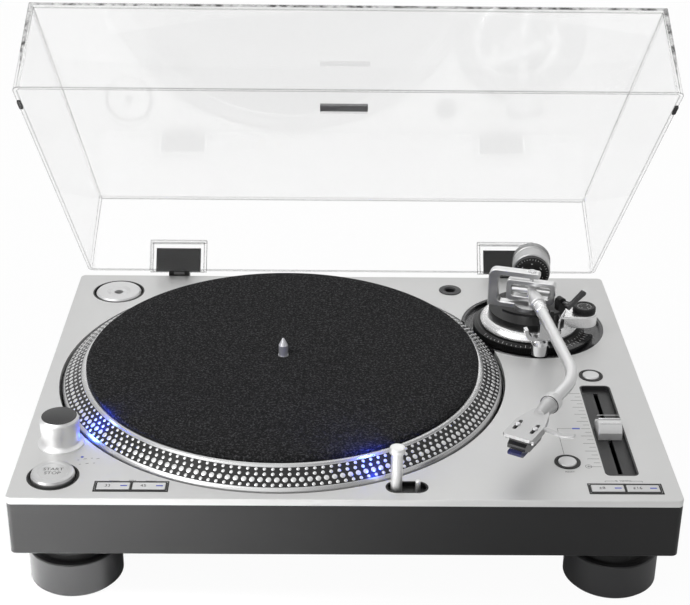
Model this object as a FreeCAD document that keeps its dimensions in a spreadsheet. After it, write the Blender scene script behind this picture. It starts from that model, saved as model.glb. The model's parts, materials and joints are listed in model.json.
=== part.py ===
"""Direct-drive turntable with an open hinged dust cover, as a parametric document.

Millimetres, +Z up, front towards -Y. The origin lies on the surface that the feet stand on,
under the middle of the whole object as it stands with its cover open.
"""
import FreeCAD
import Part
import Sketcher
import math
import os
from FreeCAD import Rotation, Vector

# Driving dimensions. Every name is an alias in the sheet, and each size is written once.
# Heights called _level are above (or below) the top plate's upper face.
SIZES = {
    # plinth
    "plinth_width": 450.0,
    "plinth_depth": 348.0,
    "plinth_corner": 4.0,
    "plate_edge": 5.0,
    "base_height": 39.5,
    "base_wall": 3.0,
    "base_floor": 4.0,
    "foot_height": 45.0,
    "fit_gap": 0.1,
    "run_gap": 0.05,
    "move_gap": 0.3,
    # feet
    "foot_side": 189.0,
    "foot_front": 130.0,
    "foot_radius": 32.5,
    "foot_cup_height": 27.0,
    "foot_wall": 3.5,
    "foot_stud_radius": 5.0,
    "collar_radius": 26.0,
    "collar_drop": 14.0,
    # platter and motor
    "platter_side": 46.0,
    "platter_back": 1.6,
    "well_radius": 169.0,
    "well_level": 16.0,
    "pan_sheet": 2.0,
    "pan_wall": 1.4,
    "lip_radius": 166.6,
    "lip_level": 0.5,
    "band_low_radius": 164.9,
    "band_low_level": 1.6,
    "band_high_radius": 151.6,
    "band_high_level": 10.0,
    "seat_radius": 148.6,
    "seat_level": 11.7,
    "skirt_level": 10.0,
    "skirt_wall": 8.0,
    "platter_sheet": 5.2,
    "platter_hub_radius": 20.0,
    "hub_level": 2.0,
    "rib_count": 8.0,
    "rib_wall": 3.0,
    "mat_radius": 148.3,
    "mat_thick": 3.5,
    "spindle_radius": 3.575,
    "shaft_radius": 3.9,
    "spindle_level": 23.2,
    "spindle_tip_level": 29.0,
    "sleeve_radius": 8.0,
    "sleeve_bottom_level": 38.0,
    "stator_radius": 54.4,
    "stator_height": 8.0,
    "air_gap": 0.6,
    "magnet_wall": 7.0,
    "magnet_height": 11.0,
    "pole_count": 12.0,
    # left controls
    "tower_side": 198.8,
    "tower_front": 103.6,
    "tower_skirt_radius": 16.2,
    "tower_radius": 13.4,
    "tower_level": 10.5,
    "tower_turn": 34.5,
    "knob_level": 21.5,
    "start_side": 197.5,
    "start_front": 147.0,
    "start_cup_radius": 17.8,
    "start_radius": 14.9,
    "start_level": 4.0,
    "cup_depth": 10.0,
    "cup_wall": 1.3,
    "press_travel": 1.5,
    "key_long": 48.2,
    "key_wide": 10.3,
    "key_front": 159.1,
    "speed_keys_side": 143.4,
    "pitch_keys_side": 188.0,
    "key_divider": 1.2,
    "key_level": 0.5,
    # adaptor and spare shell socket
    "adaptor_side": 188.9,
    "adaptor_back": 141.4,
    "adaptor_cup_radius": 21.5,
    "adaptor_radius": 18.8,
    "adaptor_level": 1.0,
    "socket_side": 91.8,
    "socket_back": 147.7,
    "socket_radius": 9.5,
    "socket_bore": 4.15,
    "socket_depth": 14.0,
    # target lamp
    "lamp_side": 34.0,
    "lamp_front": 158.4,
    "lamp_pitch": 14.4,
    "lamp_slot_radius": 7.3,
    "lamp_radius": 3.9,
    "lamp_cap_radius": 5.5,
    "lamp_level": 31.5,
    "lamp_cap_height": 4.5,
    "pin_radius": 1.8,
    "pin_level": 5.5,
    # right controls
    "round_button_radius": 6.5,
    "round_bezel_radius": 9.2,
    "front_button_side": 153.6,
    "front_button_front": 126.0,
    "rear_button_side": 188.9,
    "rear_button_front": 1.8,
    "bed_side": 188.9,
    "bed_front": 80.2,
    "bed_wide": 23.2,
    "bed_long": 126.0,
    "bed_corner": 4.0,
    "bed_level": 3.2,
    "bed_slot_wide": 3.2,
    "bed_slot_long": 112.0,
    "slider_wide": 17.0,
    "slider_radius": 7.0,
    "slider_ledge": 4.5,
    "slider_level": 9.0,
    "slider_rest": 2.3,
    # arm base
    "pivot_side": 150.8,
    "pivot_back": 80.3,
    "dish_side": 154.0,
    "dish_back": 83.3,
    "dish_radius": 57.6,
    "dish_rim": 2.4,
    "dish_level": 3.0,
    "post_radius": 22.0,
    "ring_radius": 44.6,
    "ring_level": 4.7,
    "platform_radius": 39.4,
    "platform_top_radius": 35.0,
    "platform_level": 12.0,
    "drum_radius": 33.0,
    "drum_level": 17.6,
    "drum_relief": 28.5,
    "pod_side": 42.0,
    "pod_front": 11.0,
    "pod_radius": 10.5,
    "pod_level": 19.5,
    "skate_radius": 9.0,
    "skate_height": 5.0,
    # gimbal
    "gimbal_turn": 16.0,
    "yoke_outer": 34.3,
    "yoke_spine": 8.0,
    "yoke_bar": 4.8,
    "yoke_depth": 8.0,
    "yoke_level": 49.3,
    "yoke_reach": 6.5,
    "frame_half": 19.5,
    "frame_bar": 4.0,
    "frame_depth": 7.2,
    "frame_height": 18.0,
    "pivot_level": 32.8,
    "pivot_pin_radius": 1.5,
    # tonearm
    "tube_turn": 5.9,
    "tube_bend": 36.9,
    "tube_bend_radius": 56.0,
    "tube_first_run": 144.7,
    "tube_second_run": 94.5,
    "tube_radius": 4.4,
    "tube_wall": 0.6,
    "stub_turn": 7.0,
    "barrel_radius": 6.0,
    "barrel_reach": 27.0,
    "neck_radius": 3.8,
    "stub_radius": 5.0,
    "stub_reach": 62.0,
    "dial_start": 30.0,
    "dial_length": 5.6,
    "dial_radius": 14.6,
    "weight_length": 25.0,
    "weight_radius": 15.6,
    "lock_collar_radius": 7.0,
    "lock_collar_length": 10.0,
    "shell_reach": 47.0,
    "shell_overhang": 6.5,
    "shell_front_half": 10.6,
    "shell_rear_half": 6.4,
    "shell_sheet": 2.2,
    "shell_level": 34.6,
    "stylus_level": 16.2,
    "cartridge_half": 8.4,
    # arm rest and cue lever
    "rest_side": 2.2,
    "rest_front": 47.3,
    "rest_drum_radius": 7.0,
    "rest_drum_level": 13.5,
    "rest_foot_level": 1.0,
    "fork_depth": 6.0,
    "lock_radius": 7.2,
    "lock_level": 25.0,
    "lock_thick": 3.5,
    "lift_radius": 33.5,
    "plunger_radius": 2.0,
    "lever_side": 20.4,
    "lever_front": 10.0,
    "lever_turn": 27.6,
    "lever_level": 30.0,
    "lever_radius": 1.6,
    "lever_reach": 13.8,
    "handle_rise": 35.0,
    "handle_length": 17.5,
    # dust cover
    "cover_width": 435.0,
    "cover_depth": 347.0,
    "cover_height": 65.9,
    "cover_wall": 2.8,
    "cover_draft": 5.2,
    "cover_rim_level": 1.6,
    "cover_rear": 171.0,
    "open_angle": 44.6,
    "hinge_back": 176.5,
    "hinge_level": 7.8,
    "hinge_side": 141.0,
    "hinge_block_wide": 17.5,
    "knuckle_wide": 9.0,
    "knuckle_radius": 3.2,
    "hinge_pin_radius": 1.6,
    "leaf_wide": 38.0,
    "leaf_tall": 20.0,
    "leaf_sheet": 2.5,
    "pocket_wide": 48.0,
    "pocket_tall": 27.0,
    "pocket_wall": 1.8,
    # rear terminals
    "panel_side": 45.0,
    "panel_wide": 120.0,
    "panel_tall": 26.0,
    "panel_sheet": 2.2,
    "jack_radius": 4.15,
    "jack_reach": 8.5,
}


class Size:
    """A number together with the formula that gives it from the sheet."""

    def __init__(self, value, formula):
        self.value = float(value)
        self.formula = formula

    def __add__(self, other):
        other = size(other)
        return Size(self.value + other.value, f"({self.formula} + {other.formula})")

    def __sub__(self, other):
        other = size(other)
        return Size(self.value - other.value, f"({self.formula} - {other.formula})")

    def __mul__(self, other):
        other = size(other)
        return Size(self.value * other.value, f"({self.formula} * {other.formula})")

    def __truediv__(self, other):
        other = size(other)
        return Size(self.value / other.value, f"({self.formula} / {other.formula})")

    def __neg__(self):
        return Size(-self.value, f"(0 - {self.formula})")

    __radd__ = __add__

    def __rmul__(self, other):
        return self * other

    def __rsub__(self, other):
        return size(other) - self


def size(number):
    """Returns a plain number as a Size, and a Size as it is."""
    if isinstance(number, Size):
        return number
    return Size(number, f"({float(number)!r})")


def cosine(angle):
    """Returns the cosine of an angle in degrees, as a Size."""
    angle = size(angle)
    return Size(math.cos(math.radians(angle.value)), f"cos({angle.formula})")


def sine(angle):
    """Returns the sine of an angle in degrees, as a Size."""
    angle = size(angle)
    return Size(math.sin(math.radians(angle.value)), f"sin({angle.formula})")


def tangent(angle):
    """Returns the tangent of an angle in degrees, as a Size."""
    return sine(angle) / cosine(angle)


doc = FreeCAD.newDocument("turntable")
sheet = doc.addObject("Spreadsheet::Sheet", "dims")
for row, (alias, number) in enumerate(SIZES.items(), start=1):
    sheet.set(f"A{row}", alias)
    sheet.set(f"B{row}", str(number))
    sheet.setAlias(f"B{row}", alias)
doc.recompute()


class Dimensions:
    """Gives each alias of the sheet as an attribute."""


d = Dimensions()
for alias, number in SIZES.items():
    setattr(d, alias, Size(number, f"dims.{alias}"))

PIECES = []


def bind(thing, path, formula):
    """Ties a property to its formula in the sheet."""
    thing.setExpression(path, size(formula).formula)


class Piece:
    """One sub-part: a body, its sketches and the features made from them."""

    def __init__(self, label, x=0, y=0, z=0, axis=(0, 0, 1), angle=0):
        self.body = doc.addObject("PartDesign::Body", label)
        self.body.Label = label
        self.place(x, y, z, axis, angle)
        self.count = 0
        PIECES.append(self.body)

    def place(self, x, y, z, axis, angle):
        """Puts the body at a point measured from the plate's middle and upper face."""
        base = self.body.Placement
        base.Rotation = Rotation(Vector(*axis), size(angle).value or 1e-9)
        self.body.Placement = base
        bind(self.body, "Placement.Base.x", size(x))
        bind(self.body, "Placement.Base.y", size(y) - origin_back)
        bind(self.body, "Placement.Base.z", size(z) + plate_top)
        if size(angle).value:
            bind(self.body, "Placement.Rotation.Angle", angle)

    def name(self, kind):
        """Returns a fresh name for a sketch or feature of this body."""
        self.count += 1
        return f"{self.body.Label}_{kind}_{self.count}"

    def origin(self, role):
        """Returns one of the body's own origin planes or axes."""
        return next(f for f in self.body.Origin.OriginFeatures if f.Role == role)

    def sketch(self, plane="XY", lift=0):
        """Adds an empty sketch on an origin plane, lifted along the plane's normal."""
        made = self.body.newObject("Sketcher::SketchObject", self.name("sketch"))
        made.AttachmentSupport = [(self.origin(plane + "_Plane"), "")]
        made.MapMode = "FlatFace"
        bind(made, "AttachmentOffset.Base.z", lift)
        return made

    def _feature(self, kind, profile, **numbers):
        doc.recompute()
        made = self.body.newObject("PartDesign::" + kind, self.name(kind.lower()))
        made.Profile = profile
        for path, formula in numbers.items():
            bind(made, path, formula)
        return made

    def pad(self, profile, length, middle=False, back=False, taper=None):
        """Pads a sketch along its normal."""
        made = self._feature("Pad", profile, Length=length)
        made.SideType = "Symmetric" if middle else "One side"
        made.Reversed = back
        if taper is not None:
            bind(made, "TaperAngle", taper)
        return self._done(made)

    def pocket(self, profile, length, middle=False, back=False, taper=None):
        """Cuts a sketch along the reverse of its normal, or along it when back is set."""
        doc.recompute()
        before = self.body.Shape.Volume
        made = self._feature("Pocket", profile, Length=length)
        made.SideType = "Symmetric" if middle else "One side"
        made.Reversed = back
        if taper is not None:
            bind(made, "TaperAngle", taper)
        self._done(made)
        if not self.body.Shape.Volume < before - 1e-6:
            raise ValueError(f"{made.Name} cuts nothing")
        return made

    def revolve(self, profile, axis="V_Axis"):
        """Turns a sketch all the way round one of its axes."""
        made = self._feature("Revolution", profile)
        made.ReferenceAxis = (profile, [axis])
        made.Angle = 360
        return self._done(made)

    def groove(self, profile, axis="V_Axis"):
        """Cuts away a sketch turned all the way round one of its axes."""
        doc.recompute()
        before = self.body.Shape.Volume
        made = self._feature("Groove", profile)
        made.ReferenceAxis = (profile, [axis])
        made.Angle = 360
        self._done(made)
        if not self.body.Shape.Volume < before - 1e-6:
            raise ValueError(f"{made.Name} cuts nothing")
        return made

    def polar(self, features, count):
        """Repeats features round the body's own Z axis."""
        made = self.body.newObject("PartDesign::PolarPattern", self.name("polar"))
        made.Originals = features
        made.Axis = (self.origin("Z_Axis"), [""])
        made.Angle = 360
        bind(made, "Occurrences", count)
        return self._done(made)

    def mirror(self, features, plane="YZ"):
        """Repeats features across an origin plane."""
        made = self.body.newObject("PartDesign::Mirrored", self.name("mirror"))
        made.Originals = features
        made.MirrorPlane = (self.origin(plane + "_Plane"), [""])
        return self._done(made)

    def pipe(self, profile, spine):
        """Sweeps a profile sketch along a path sketch."""
        doc.recompute()
        made = self.body.newObject("PartDesign::AdditivePipe", self.name("pipe"))
        made.Profile = profile
        made.Spine = (spine, [f"Edge{i + 1}" for i in range(len(spine.Shape.Edges))])
        return self._done(made)

    def loft(self, sections):
        """Lofts through sketches, in order."""
        doc.recompute()
        made = self.body.newObject("PartDesign::AdditiveLoft", self.name("loft"))
        made.Profile = sections[0]
        made.Sections = sections[1:]
        made.Ruled = True
        return self._done(made)

    def fillet(self, radius, wanted):
        """Rounds the edges of the tip for which wanted(edge) is true."""
        return self._dress("Fillet", "Radius", radius, wanted)

    def chamfer(self, width, wanted):
        """Bevels the edges of the tip for which wanted(edge) is true."""
        return self._dress("Chamfer", "Size", width, wanted)

    def _dress(self, kind, path, amount, wanted):
        doc.recompute()
        tip = self.body.Tip
        names = [f"Edge{i}" for i, edge in enumerate(tip.Shape.Edges, start=1) if wanted(edge)]
        if not names:
            raise ValueError(f"{self.body.Label}: no edge to dress")
        made = self.body.newObject("PartDesign::" + kind, self.name(kind.lower()))
        made.Base = (tip, names)
        bind(made, path, amount)
        return self._done(made)

    def _done(self, made):
        self.body.Tip = made
        doc.recompute()
        if "Invalid" in made.State or "Error" in made.State:
            raise ValueError(f"{made.Name}: {made.State}")
        return made


def upright(edge):
    """Tells whether an edge is a straight one along Z."""
    box = edge.BoundBox
    return box.ZLength > 0.5 and box.XLength < 1e-4 and box.YLength < 1e-4


def ring_at(z, radius=None):
    """Returns a test for round edges at a height and, if given, of a radius."""
    def wanted(edge):
        curve = edge.Curve
        if not isinstance(curve, Part.Circle) or abs(curve.Center.z - size(z).value) > 1e-3:
            return False
        return radius is None or abs(curve.Radius - size(radius).value) < 1e-3
    return wanted


def flat_at(z):
    """Returns a test for every edge that lies in one level plane."""
    def wanted(edge):
        box = edge.BoundBox
        return abs(box.ZMin - size(z).value) < 1e-3 and abs(box.ZMax - size(z).value) < 1e-3
    return wanted


def measure(rules, sketch, kind, geo, pos, amount):
    """Adds a rule that holds a point at a signed distance from the sketch's origin."""
    amount = size(amount)
    if abs(amount.value) < 1e-9:
        along = -2 if kind == "DistanceX" else -1
        rules.append((Sketcher.Constraint("PointOnObject", geo, pos, along), None))
    elif amount.value > 0:
        rule = Sketcher.Constraint(kind, -1, 1, geo, pos, amount.value)
        rules.append((rule, amount.formula))
    else:
        rule = Sketcher.Constraint(kind, geo, pos, -1, 1, -amount.value)
        rules.append((rule, (-amount).formula))


def settle(sketch, rules):
    """Adds the rules to a sketch and binds those that have a formula."""
    first = sketch.ConstraintCount
    sketch.addConstraint([rule for rule, _ in rules])
    for index, (_, formula) in enumerate(rules):
        if formula is not None:
            sketch.setExpression(f"Constraints[{first + index}]", formula)


def point(pair):
    """Returns a pair of sizes as a point of a sketch."""
    return Vector(size(pair[0]).value, size(pair[1]).value, 0)


def circle(sketch, radius, x=0, y=0):
    """Draws a circle."""
    radius = size(radius)
    geo = sketch.addGeometry(Part.Circle(point((x, y)), Vector(0, 0, 1), radius.value))
    rules = [(Sketcher.Constraint("Radius", geo, radius.value), radius.formula)]
    measure(rules, sketch, "DistanceX", geo, 3, x)
    measure(rules, sketch, "DistanceY", geo, 3, y)
    settle(sketch, rules)
    return sketch


def ring(sketch, outer, inner, x=0, y=0):
    """Draws two circles about one centre."""
    circle(sketch, outer, x, y)
    return circle(sketch, inner, x, y)


def outline(sketch, corners, closed=True):
    """Draws a line through corners; ("arc", mid, end) makes an arc through mid to end."""
    ends = [corner[2] if corner[0] == "arc" else corner for corner in corners]
    meets = closed and point(ends[-1]).distanceToPoint(point(ends[0])) < 1e-6
    count = len(corners) if closed and not meets else len(corners) - 1
    rules = []
    for index in range(count):
        start = ends[index]
        target = corners[(index + 1) % len(corners)]
        if target[0] == "arc":
            arc = Part.Arc(point(start), point(target[1]), point(target[2]))
            geo = sketch.addGeometry(arc)
            middle = sketch.addGeometry(Part.Point(point(target[1])), True)
            rules.append((Sketcher.Constraint("PointOnObject", middle, 1, geo), None))
            measure(rules, sketch, "DistanceX", middle, 1, target[1][0])
            measure(rules, sketch, "DistanceY", middle, 1, target[1][1])
            turns_left = arc_turns_left(start, target[1], target[2])
            start_pos, end_pos = (1, 2) if turns_left else (2, 1)
        else:
            geo = sketch.addGeometry(Part.LineSegment(point(start), point(target)))
            start_pos, end_pos = 1, 2
        if index == 0:
            first_end = (geo, start_pos)
            for kind, amount in zip(("DistanceX", "DistanceY"), start):
                measure(rules, sketch, kind, geo, start_pos, amount)
        else:
            rules.append((Sketcher.Constraint("Coincident", *last_end, geo, start_pos), None))
        last_end = (geo, end_pos)
        if index < count - 1 or not closed:
            for kind, amount in zip(("DistanceX", "DistanceY"), ends[(index + 1) % len(ends)]):
                measure(rules, sketch, kind, geo, end_pos, amount)
    if closed:
        rules.append((Sketcher.Constraint("Coincident", *last_end, *first_end), None))
    settle(sketch, rules)
    return sketch


def arc_turns_left(start, mid, end):
    """Tells whether an arc through three points runs anticlockwise."""
    a, b, c = point(start), point(mid), point(end)
    return (b.x - a.x) * (c.y - a.y) - (b.y - a.y) * (c.x - a.x) > 0


def slab(sketch, wide, tall, radius=0, x=0, y=0):
    """Draws a rectangle about a centre, with round corners if a radius is given."""
    left, right = size(x) - wide / 2, size(x) + wide / 2
    low, high = size(y) - tall / 2, size(y) + tall / 2
    if not size(radius).value:
        return outline(sketch, [(left, low), (right, low), (right, high), (left, high)])
    r = size(radius)
    cut = r * (1 - math.sqrt(0.5))
    corners = [
        (left + r, low), (right - r, low),
        ("arc", (right - cut, low + cut), (right, low + r)), (right, high - r),
        ("arc", (right - cut, high - cut), (right - r, high)), (left + r, high),
        ("arc", (left + cut, high - cut), (left, high - r)), (left, low + r),
        ("arc", (left + cut, low + cut), (left + r, low)),
    ]
    return outline(sketch, corners[1:])


def oblong(sketch, long, radius, x=0, y=0, along_x=True):
    """Draws a slot with round ends; long is the distance between the end centres."""
    half, r, x, y = long / 2, size(radius), size(x), size(y)
    if along_x:
        corners = [
            (x + half, y - r), ("arc", (x + half + r, y), (x + half, y + r)),
            (x - half, y + r), ("arc", (x - half - r, y), (x - half, y - r)),
        ]
    else:
        corners = [
            (x + r, y + half), ("arc", (x, y + half + r), (x - r, y + half)),
            (x - r, y - half), ("arc", (x, y - half - r), (x + r, y - half)),
        ]
    return outline(sketch, corners)


# Levels and places that follow from the driving dimensions
plate_top = d.foot_height + d.base_height + d.plate_edge
plate_under = -d.plate_edge
base_under = -(d.plate_edge + d.base_height)
floor_level = base_under + d.base_floor
cover_top = d.cover_rim_level + d.cover_height
cover_lean = d.cover_height * tangent(d.cover_draft)
rear_reach = (
    d.hinge_back
    - (d.hinge_back - d.cover_rear + cover_lean) * cosine(d.open_angle)
    + (cover_top - d.hinge_level) * sine(d.open_angle)
)
origin_back = (rear_reach - d.plinth_depth / 2) / 2
pan_under = -(d.well_level + d.pan_sheet)
stylus_turn = d.tube_turn - d.tube_bend
ACROSS = (1, 0, 0)


def foot_places():
    """Yields the name and centre of each foot."""
    for front, y in (("front", -d.foot_front), ("rear", d.foot_front)):
        for hand, x in (("left", -d.foot_side), ("right", d.foot_side)):
            yield f"{front}_{hand}", x, y


def base_housing():
    """The dark moulded tub that carries everything."""
    tub = Piece("base_housing", z=base_under)
    tub.pad(slab(tub.sketch(), d.plinth_width, d.plinth_depth, d.plinth_corner), d.base_height)
    inner = d.plinth_corner - 1
    tub.pocket(
        slab(tub.sketch(lift=d.base_height), d.plinth_width - d.base_wall * 2,
             d.plinth_depth - d.base_wall * 2, inner),
        d.base_height - d.base_floor,
    )
    posts = tub.sketch(lift=d.base_floor)
    for x in (-d.plinth_width / 2 + 7, d.plinth_width / 2 - 7):
        for y in (-d.plinth_depth / 2 + 7, d.plinth_depth / 2 - 7):
            circle(posts, 5, x, y)
    tub.pad(posts, d.base_height - d.base_floor)
    bosses = tub.sketch(lift=d.base_floor)
    for _, x, y in foot_places():
        circle(bosses, 14, x, y)
    tub.pad(bosses, 14)
    collars = tub.sketch()
    for _, x, y in foot_places():
        circle(collars, d.collar_radius, x, y)
    tub.pad(collars, d.collar_drop, back=True)
    bores = tub.sketch(lift=-d.collar_drop)
    for _, x, y in foot_places():
        circle(bores, d.foot_stud_radius, x, y)
    tub.pocket(bores, d.collar_drop + d.base_floor + 10, back=True)
    rest = ring(tub.sketch(lift=d.base_floor), 104, 100, -d.platter_side, d.platter_back)
    tub.pad(rest, pan_under - floor_level)
    guide = ring(tub.sketch(lift=d.base_floor), 29, 25, d.pivot_side, d.pivot_back)
    tub.pad(guide, d.base_height - d.base_floor - 2)
    stands = tub.sketch(lift=d.base_floor)
    for x in (-42, 42):
        for y in (-40, 40):
            circle(stands, 3.5, BOARD_X + x, BOARD_Y + y)
    tub.pad(stands, 8)
    window = slab(tub.sketch("XZ", lift=-d.plinth_depth / 2), d.panel_wide, d.panel_tall,
                  2, -d.panel_side, d.base_height / 2)
    tub.pocket(window, d.base_wall, back=True)
    tub.chamfer(0.8, tub_rim(0))


BOARD_X = 150.0
BOARD_Y = -62.0


def top_plate():
    """The silver plate with its openings."""
    plate = Piece("top_plate", z=plate_under)
    plate.pad(slab(plate.sketch(), d.plinth_width, d.plinth_depth, d.plinth_corner), d.plate_edge)
    cuts = plate.sketch(lift=d.plate_edge)
    circle(cuts, d.well_radius, -d.platter_side, d.platter_back)
    circle(cuts, d.start_cup_radius, -d.start_side, -d.start_front)
    circle(cuts, d.adaptor_cup_radius, -d.adaptor_side, d.adaptor_back)
    circle(cuts, d.socket_radius, d.socket_side, d.socket_back)
    circle(cuts, d.tower_radius - 2, -d.tower_side, -d.tower_front)
    circle(cuts, d.round_bezel_radius, d.front_button_side, -d.front_button_front)
    circle(cuts, d.round_bezel_radius, d.rear_button_side, -d.rear_button_front)
    slab(cuts, d.bed_wide, d.bed_long, d.bed_corner, d.bed_side, -d.bed_front)
    slab(cuts, d.key_long, d.key_wide, 1.5, -d.speed_keys_side, -d.key_front)
    slab(cuts, d.key_long, d.key_wide, 1.5, d.pitch_keys_side, -d.key_front)
    oblong(cuts, d.lamp_pitch, d.lamp_slot_radius, d.lamp_side + d.lamp_pitch / 2, -d.lamp_front)
    plate.pocket(cuts, d.plate_edge)
    dish = circle(plate.sketch(lift=d.plate_edge), d.dish_radius, d.dish_side, d.dish_back)
    plate.pocket(dish, d.plate_edge)
    plate.chamfer(0.4, tub_rim(d.plate_edge))


def tub_rim(z):
    """Returns a test for the plinth's own outer edges at a height."""
    def wanted(item):
        box = item.BoundBox
        level = abs(box.ZMin - size(z).value) < 1e-3 and abs(box.ZMax - size(z).value) < 1e-3
        half_x = d.plinth_width.value / 2 - d.plinth_corner.value - 0.1
        half_y = d.plinth_depth.value / 2 - d.plinth_corner.value - 0.1
        middle = item.valueAt((item.FirstParameter + item.LastParameter) / 2)
        return level and (abs(middle.x) > half_x or abs(middle.y) > half_y)
    return wanted


def platter_well():
    """The black pan that the platter turns in."""
    pan = Piece("platter_well", -d.platter_side, d.platter_back)
    wall = d.well_radius - d.pan_wall
    pan.revolve(outline(pan.sketch("XZ"), [
        (d.sleeve_radius + d.fit_gap, pan_under), (d.well_radius, pan_under),
        (d.well_radius, plate_under), (wall, plate_under),
        (wall, pan_under + d.pan_sheet), (d.sleeve_radius + d.fit_gap, pan_under + d.pan_sheet),
    ]))


def bearing_sleeve():
    """The brass sleeve that the spindle runs in, with its flange and closed foot."""
    sleeve = Piece("bearing_sleeve", -d.platter_side, d.platter_back)
    bore = d.shaft_radius + d.run_gap
    flange = -d.well_level
    sleeve.revolve(outline(sleeve.sketch("XZ"), [
        (0, -d.sleeve_bottom_level - 2), (d.sleeve_radius, -d.sleeve_bottom_level - 2),
        (d.sleeve_radius, flange), (d.sleeve_radius * 2.5, flange),
        (d.sleeve_radius * 2.5, flange + 2), (d.sleeve_radius, flange + 2),
        (d.sleeve_radius, -4), (d.sleeve_radius - 1, -3), (bore, -3),
        (bore, -d.sleeve_bottom_level), (0, -d.sleeve_bottom_level),
    ]))


def motor_stator():
    """The slotted stator that drives the platter directly."""
    low = -d.well_level + 2
    stator = Piece("motor_stator", -d.platter_side, d.platter_back, low)
    stator.pad(ring(stator.sketch(), d.stator_radius, d.sleeve_radius + d.fit_gap), d.stator_height)
    gap_at = d.stator_radius * 0.62
    slot = stator.sketch(lift=d.stator_height)
    outline(slot, [
        (gap_at, -3.5), (d.stator_radius - 5, -6.5), (d.stator_radius - 5, -1.6),
        (d.stator_radius + 1, -1.6), (d.stator_radius + 1, 1.6), (d.stator_radius - 5, 1.6),
        (d.stator_radius - 5, 6.5), (gap_at, 3.5),
    ])
    cut = stator.pocket(slot, d.stator_height)
    stator.polar([cut], d.pole_count)


def platter():
    """The cast platter: dotted cone band, bright ring, hub, magnet seat and ribs."""
    disc = Piece("platter", -d.platter_side, d.platter_back)
    under = d.seat_level - d.platter_sheet
    inner = d.lip_radius - d.skirt_wall
    seat_in = d.stator_radius + d.air_gap
    seat_out = seat_in + d.magnet_wall
    disc.revolve(outline(disc.sketch("XZ"), [
        (d.shaft_radius, d.seat_level), (d.shaft_radius, -d.hub_level),
        (d.platter_hub_radius, -d.hub_level), (d.platter_hub_radius + 2, under),
        (seat_in - 1, under), (seat_in - 1, -d.hub_level), (seat_out + 1, -d.hub_level),
        (seat_out + 1, under), (inner - 9, under), (inner, under - 6), (inner, -d.skirt_level),
        (d.lip_radius - 0.6, -d.skirt_level), (d.lip_radius, -d.skirt_level + 0.6),
        (d.lip_radius, -d.lip_level - 0.8), (d.lip_radius - 0.35, -d.lip_level + 0.25),
        (d.band_low_radius + 0.6, 0.9), (d.band_low_radius, d.band_low_level),
        (d.band_high_radius, d.band_high_level),
        (d.band_high_radius - 0.7, d.band_high_level + 1.15),
        (d.band_high_radius - 1.9, d.seat_level),
    ]))
    rib = disc.sketch("XZ")
    outline(rib, [
        (d.platter_hub_radius + 0.5, 0), (seat_in, 0), (seat_in, under + 1),
        (d.platter_hub_radius + 1, under + 1),
    ])
    spoke = disc.pad(rib, d.rib_wall, middle=True)
    far = disc.sketch("XZ")
    outline(far, [
        (seat_out, 0), (inner + 1, -4), (inner + 1, under - 5), (inner - 8, under + 1),
        (seat_out, under + 1),
    ])
    blade = disc.pad(far, d.rib_wall, middle=True)
    disc.polar([spoke, blade], d.rib_count)


def rotor_magnet():
    """The ring magnet under the platter."""
    magnet = Piece("rotor_magnet", -d.platter_side, d.platter_back, -d.hub_level)
    inner = d.stator_radius + d.air_gap
    magnet.pad(ring(magnet.sketch(), inner + d.magnet_wall, inner), d.magnet_height, back=True)
    magnet.chamfer(0.8, flat_at(-d.magnet_height))


def slipmat():
    """The loose felt mat on the platter."""
    mat = Piece("slipmat", -d.platter_side, d.platter_back, d.seat_level)
    mat.pad(ring(mat.sketch(), d.mat_radius, d.shaft_radius + 0.25), d.mat_thick)


def spindle():
    """The turned spindle with its cone top and its ball foot."""
    shaft = Piece("spindle", -d.platter_side, d.platter_back)
    foot = -d.sleeve_bottom_level + 0.1
    r, low = d.spindle_radius, d.shaft_radius
    shoulder = d.seat_level + d.mat_thick
    shaft.revolve(outline(shaft.sketch("XZ"), [
        (0, foot), (low * 0.3, foot), (low * 0.76, foot + 0.9), (low, foot + low * 0.8),
        (low, shoulder), (r, shoulder), (r, d.spindle_level), (0.9, d.spindle_tip_level - 0.5),
        (0.4, d.spindle_tip_level), (0, d.spindle_tip_level),
    ]))


def arm_dish():
    """The black recessed dish under the arm, with the height index beside the ring."""
    dish = Piece("arm_dish", d.dish_side, d.dish_back)
    edge = d.dish_radius - d.fit_gap
    under = plate_under - 2
    dish.revolve(outline(dish.sketch("XZ"), [
        (0, under), (d.dish_radius + 4, under), (d.dish_radius + 4, plate_under),
        (edge, plate_under), (edge, -0.3), (edge - d.dish_rim, -0.3),
        (edge - d.dish_rim - 0.8, -d.dish_level), (0, -d.dish_level),
    ]))
    off_x = d.pivot_side - d.dish_side
    off_y = d.pivot_back - d.dish_back
    bore = circle(dish.sketch(lift=-d.dish_level), d.post_radius + 0.4, off_x, off_y)
    dish.pocket(bore, 10)
    well = circle(dish.sketch(), d.well_radius + d.fit_gap,
                  -d.platter_side - d.dish_side, d.platter_back - d.dish_back)
    dish.pocket(well, 10)
    near, far = d.ring_radius + 0.6, d.ring_radius + 8.4

    def polar_point(radius, angle):
        return off_x + radius * cosine(angle), off_y + radius * sine(angle)

    index = outline(dish.sketch(lift=-d.dish_level), [
        polar_point(near, -66), polar_point(far, -66),
        ("arc", polar_point(far, -44), polar_point(far, -22)), polar_point(near, -22),
        ("arc", polar_point(near, -44), polar_point(near, -66)),
    ])
    dish.pad(index, d.dish_level + 3.4)


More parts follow.
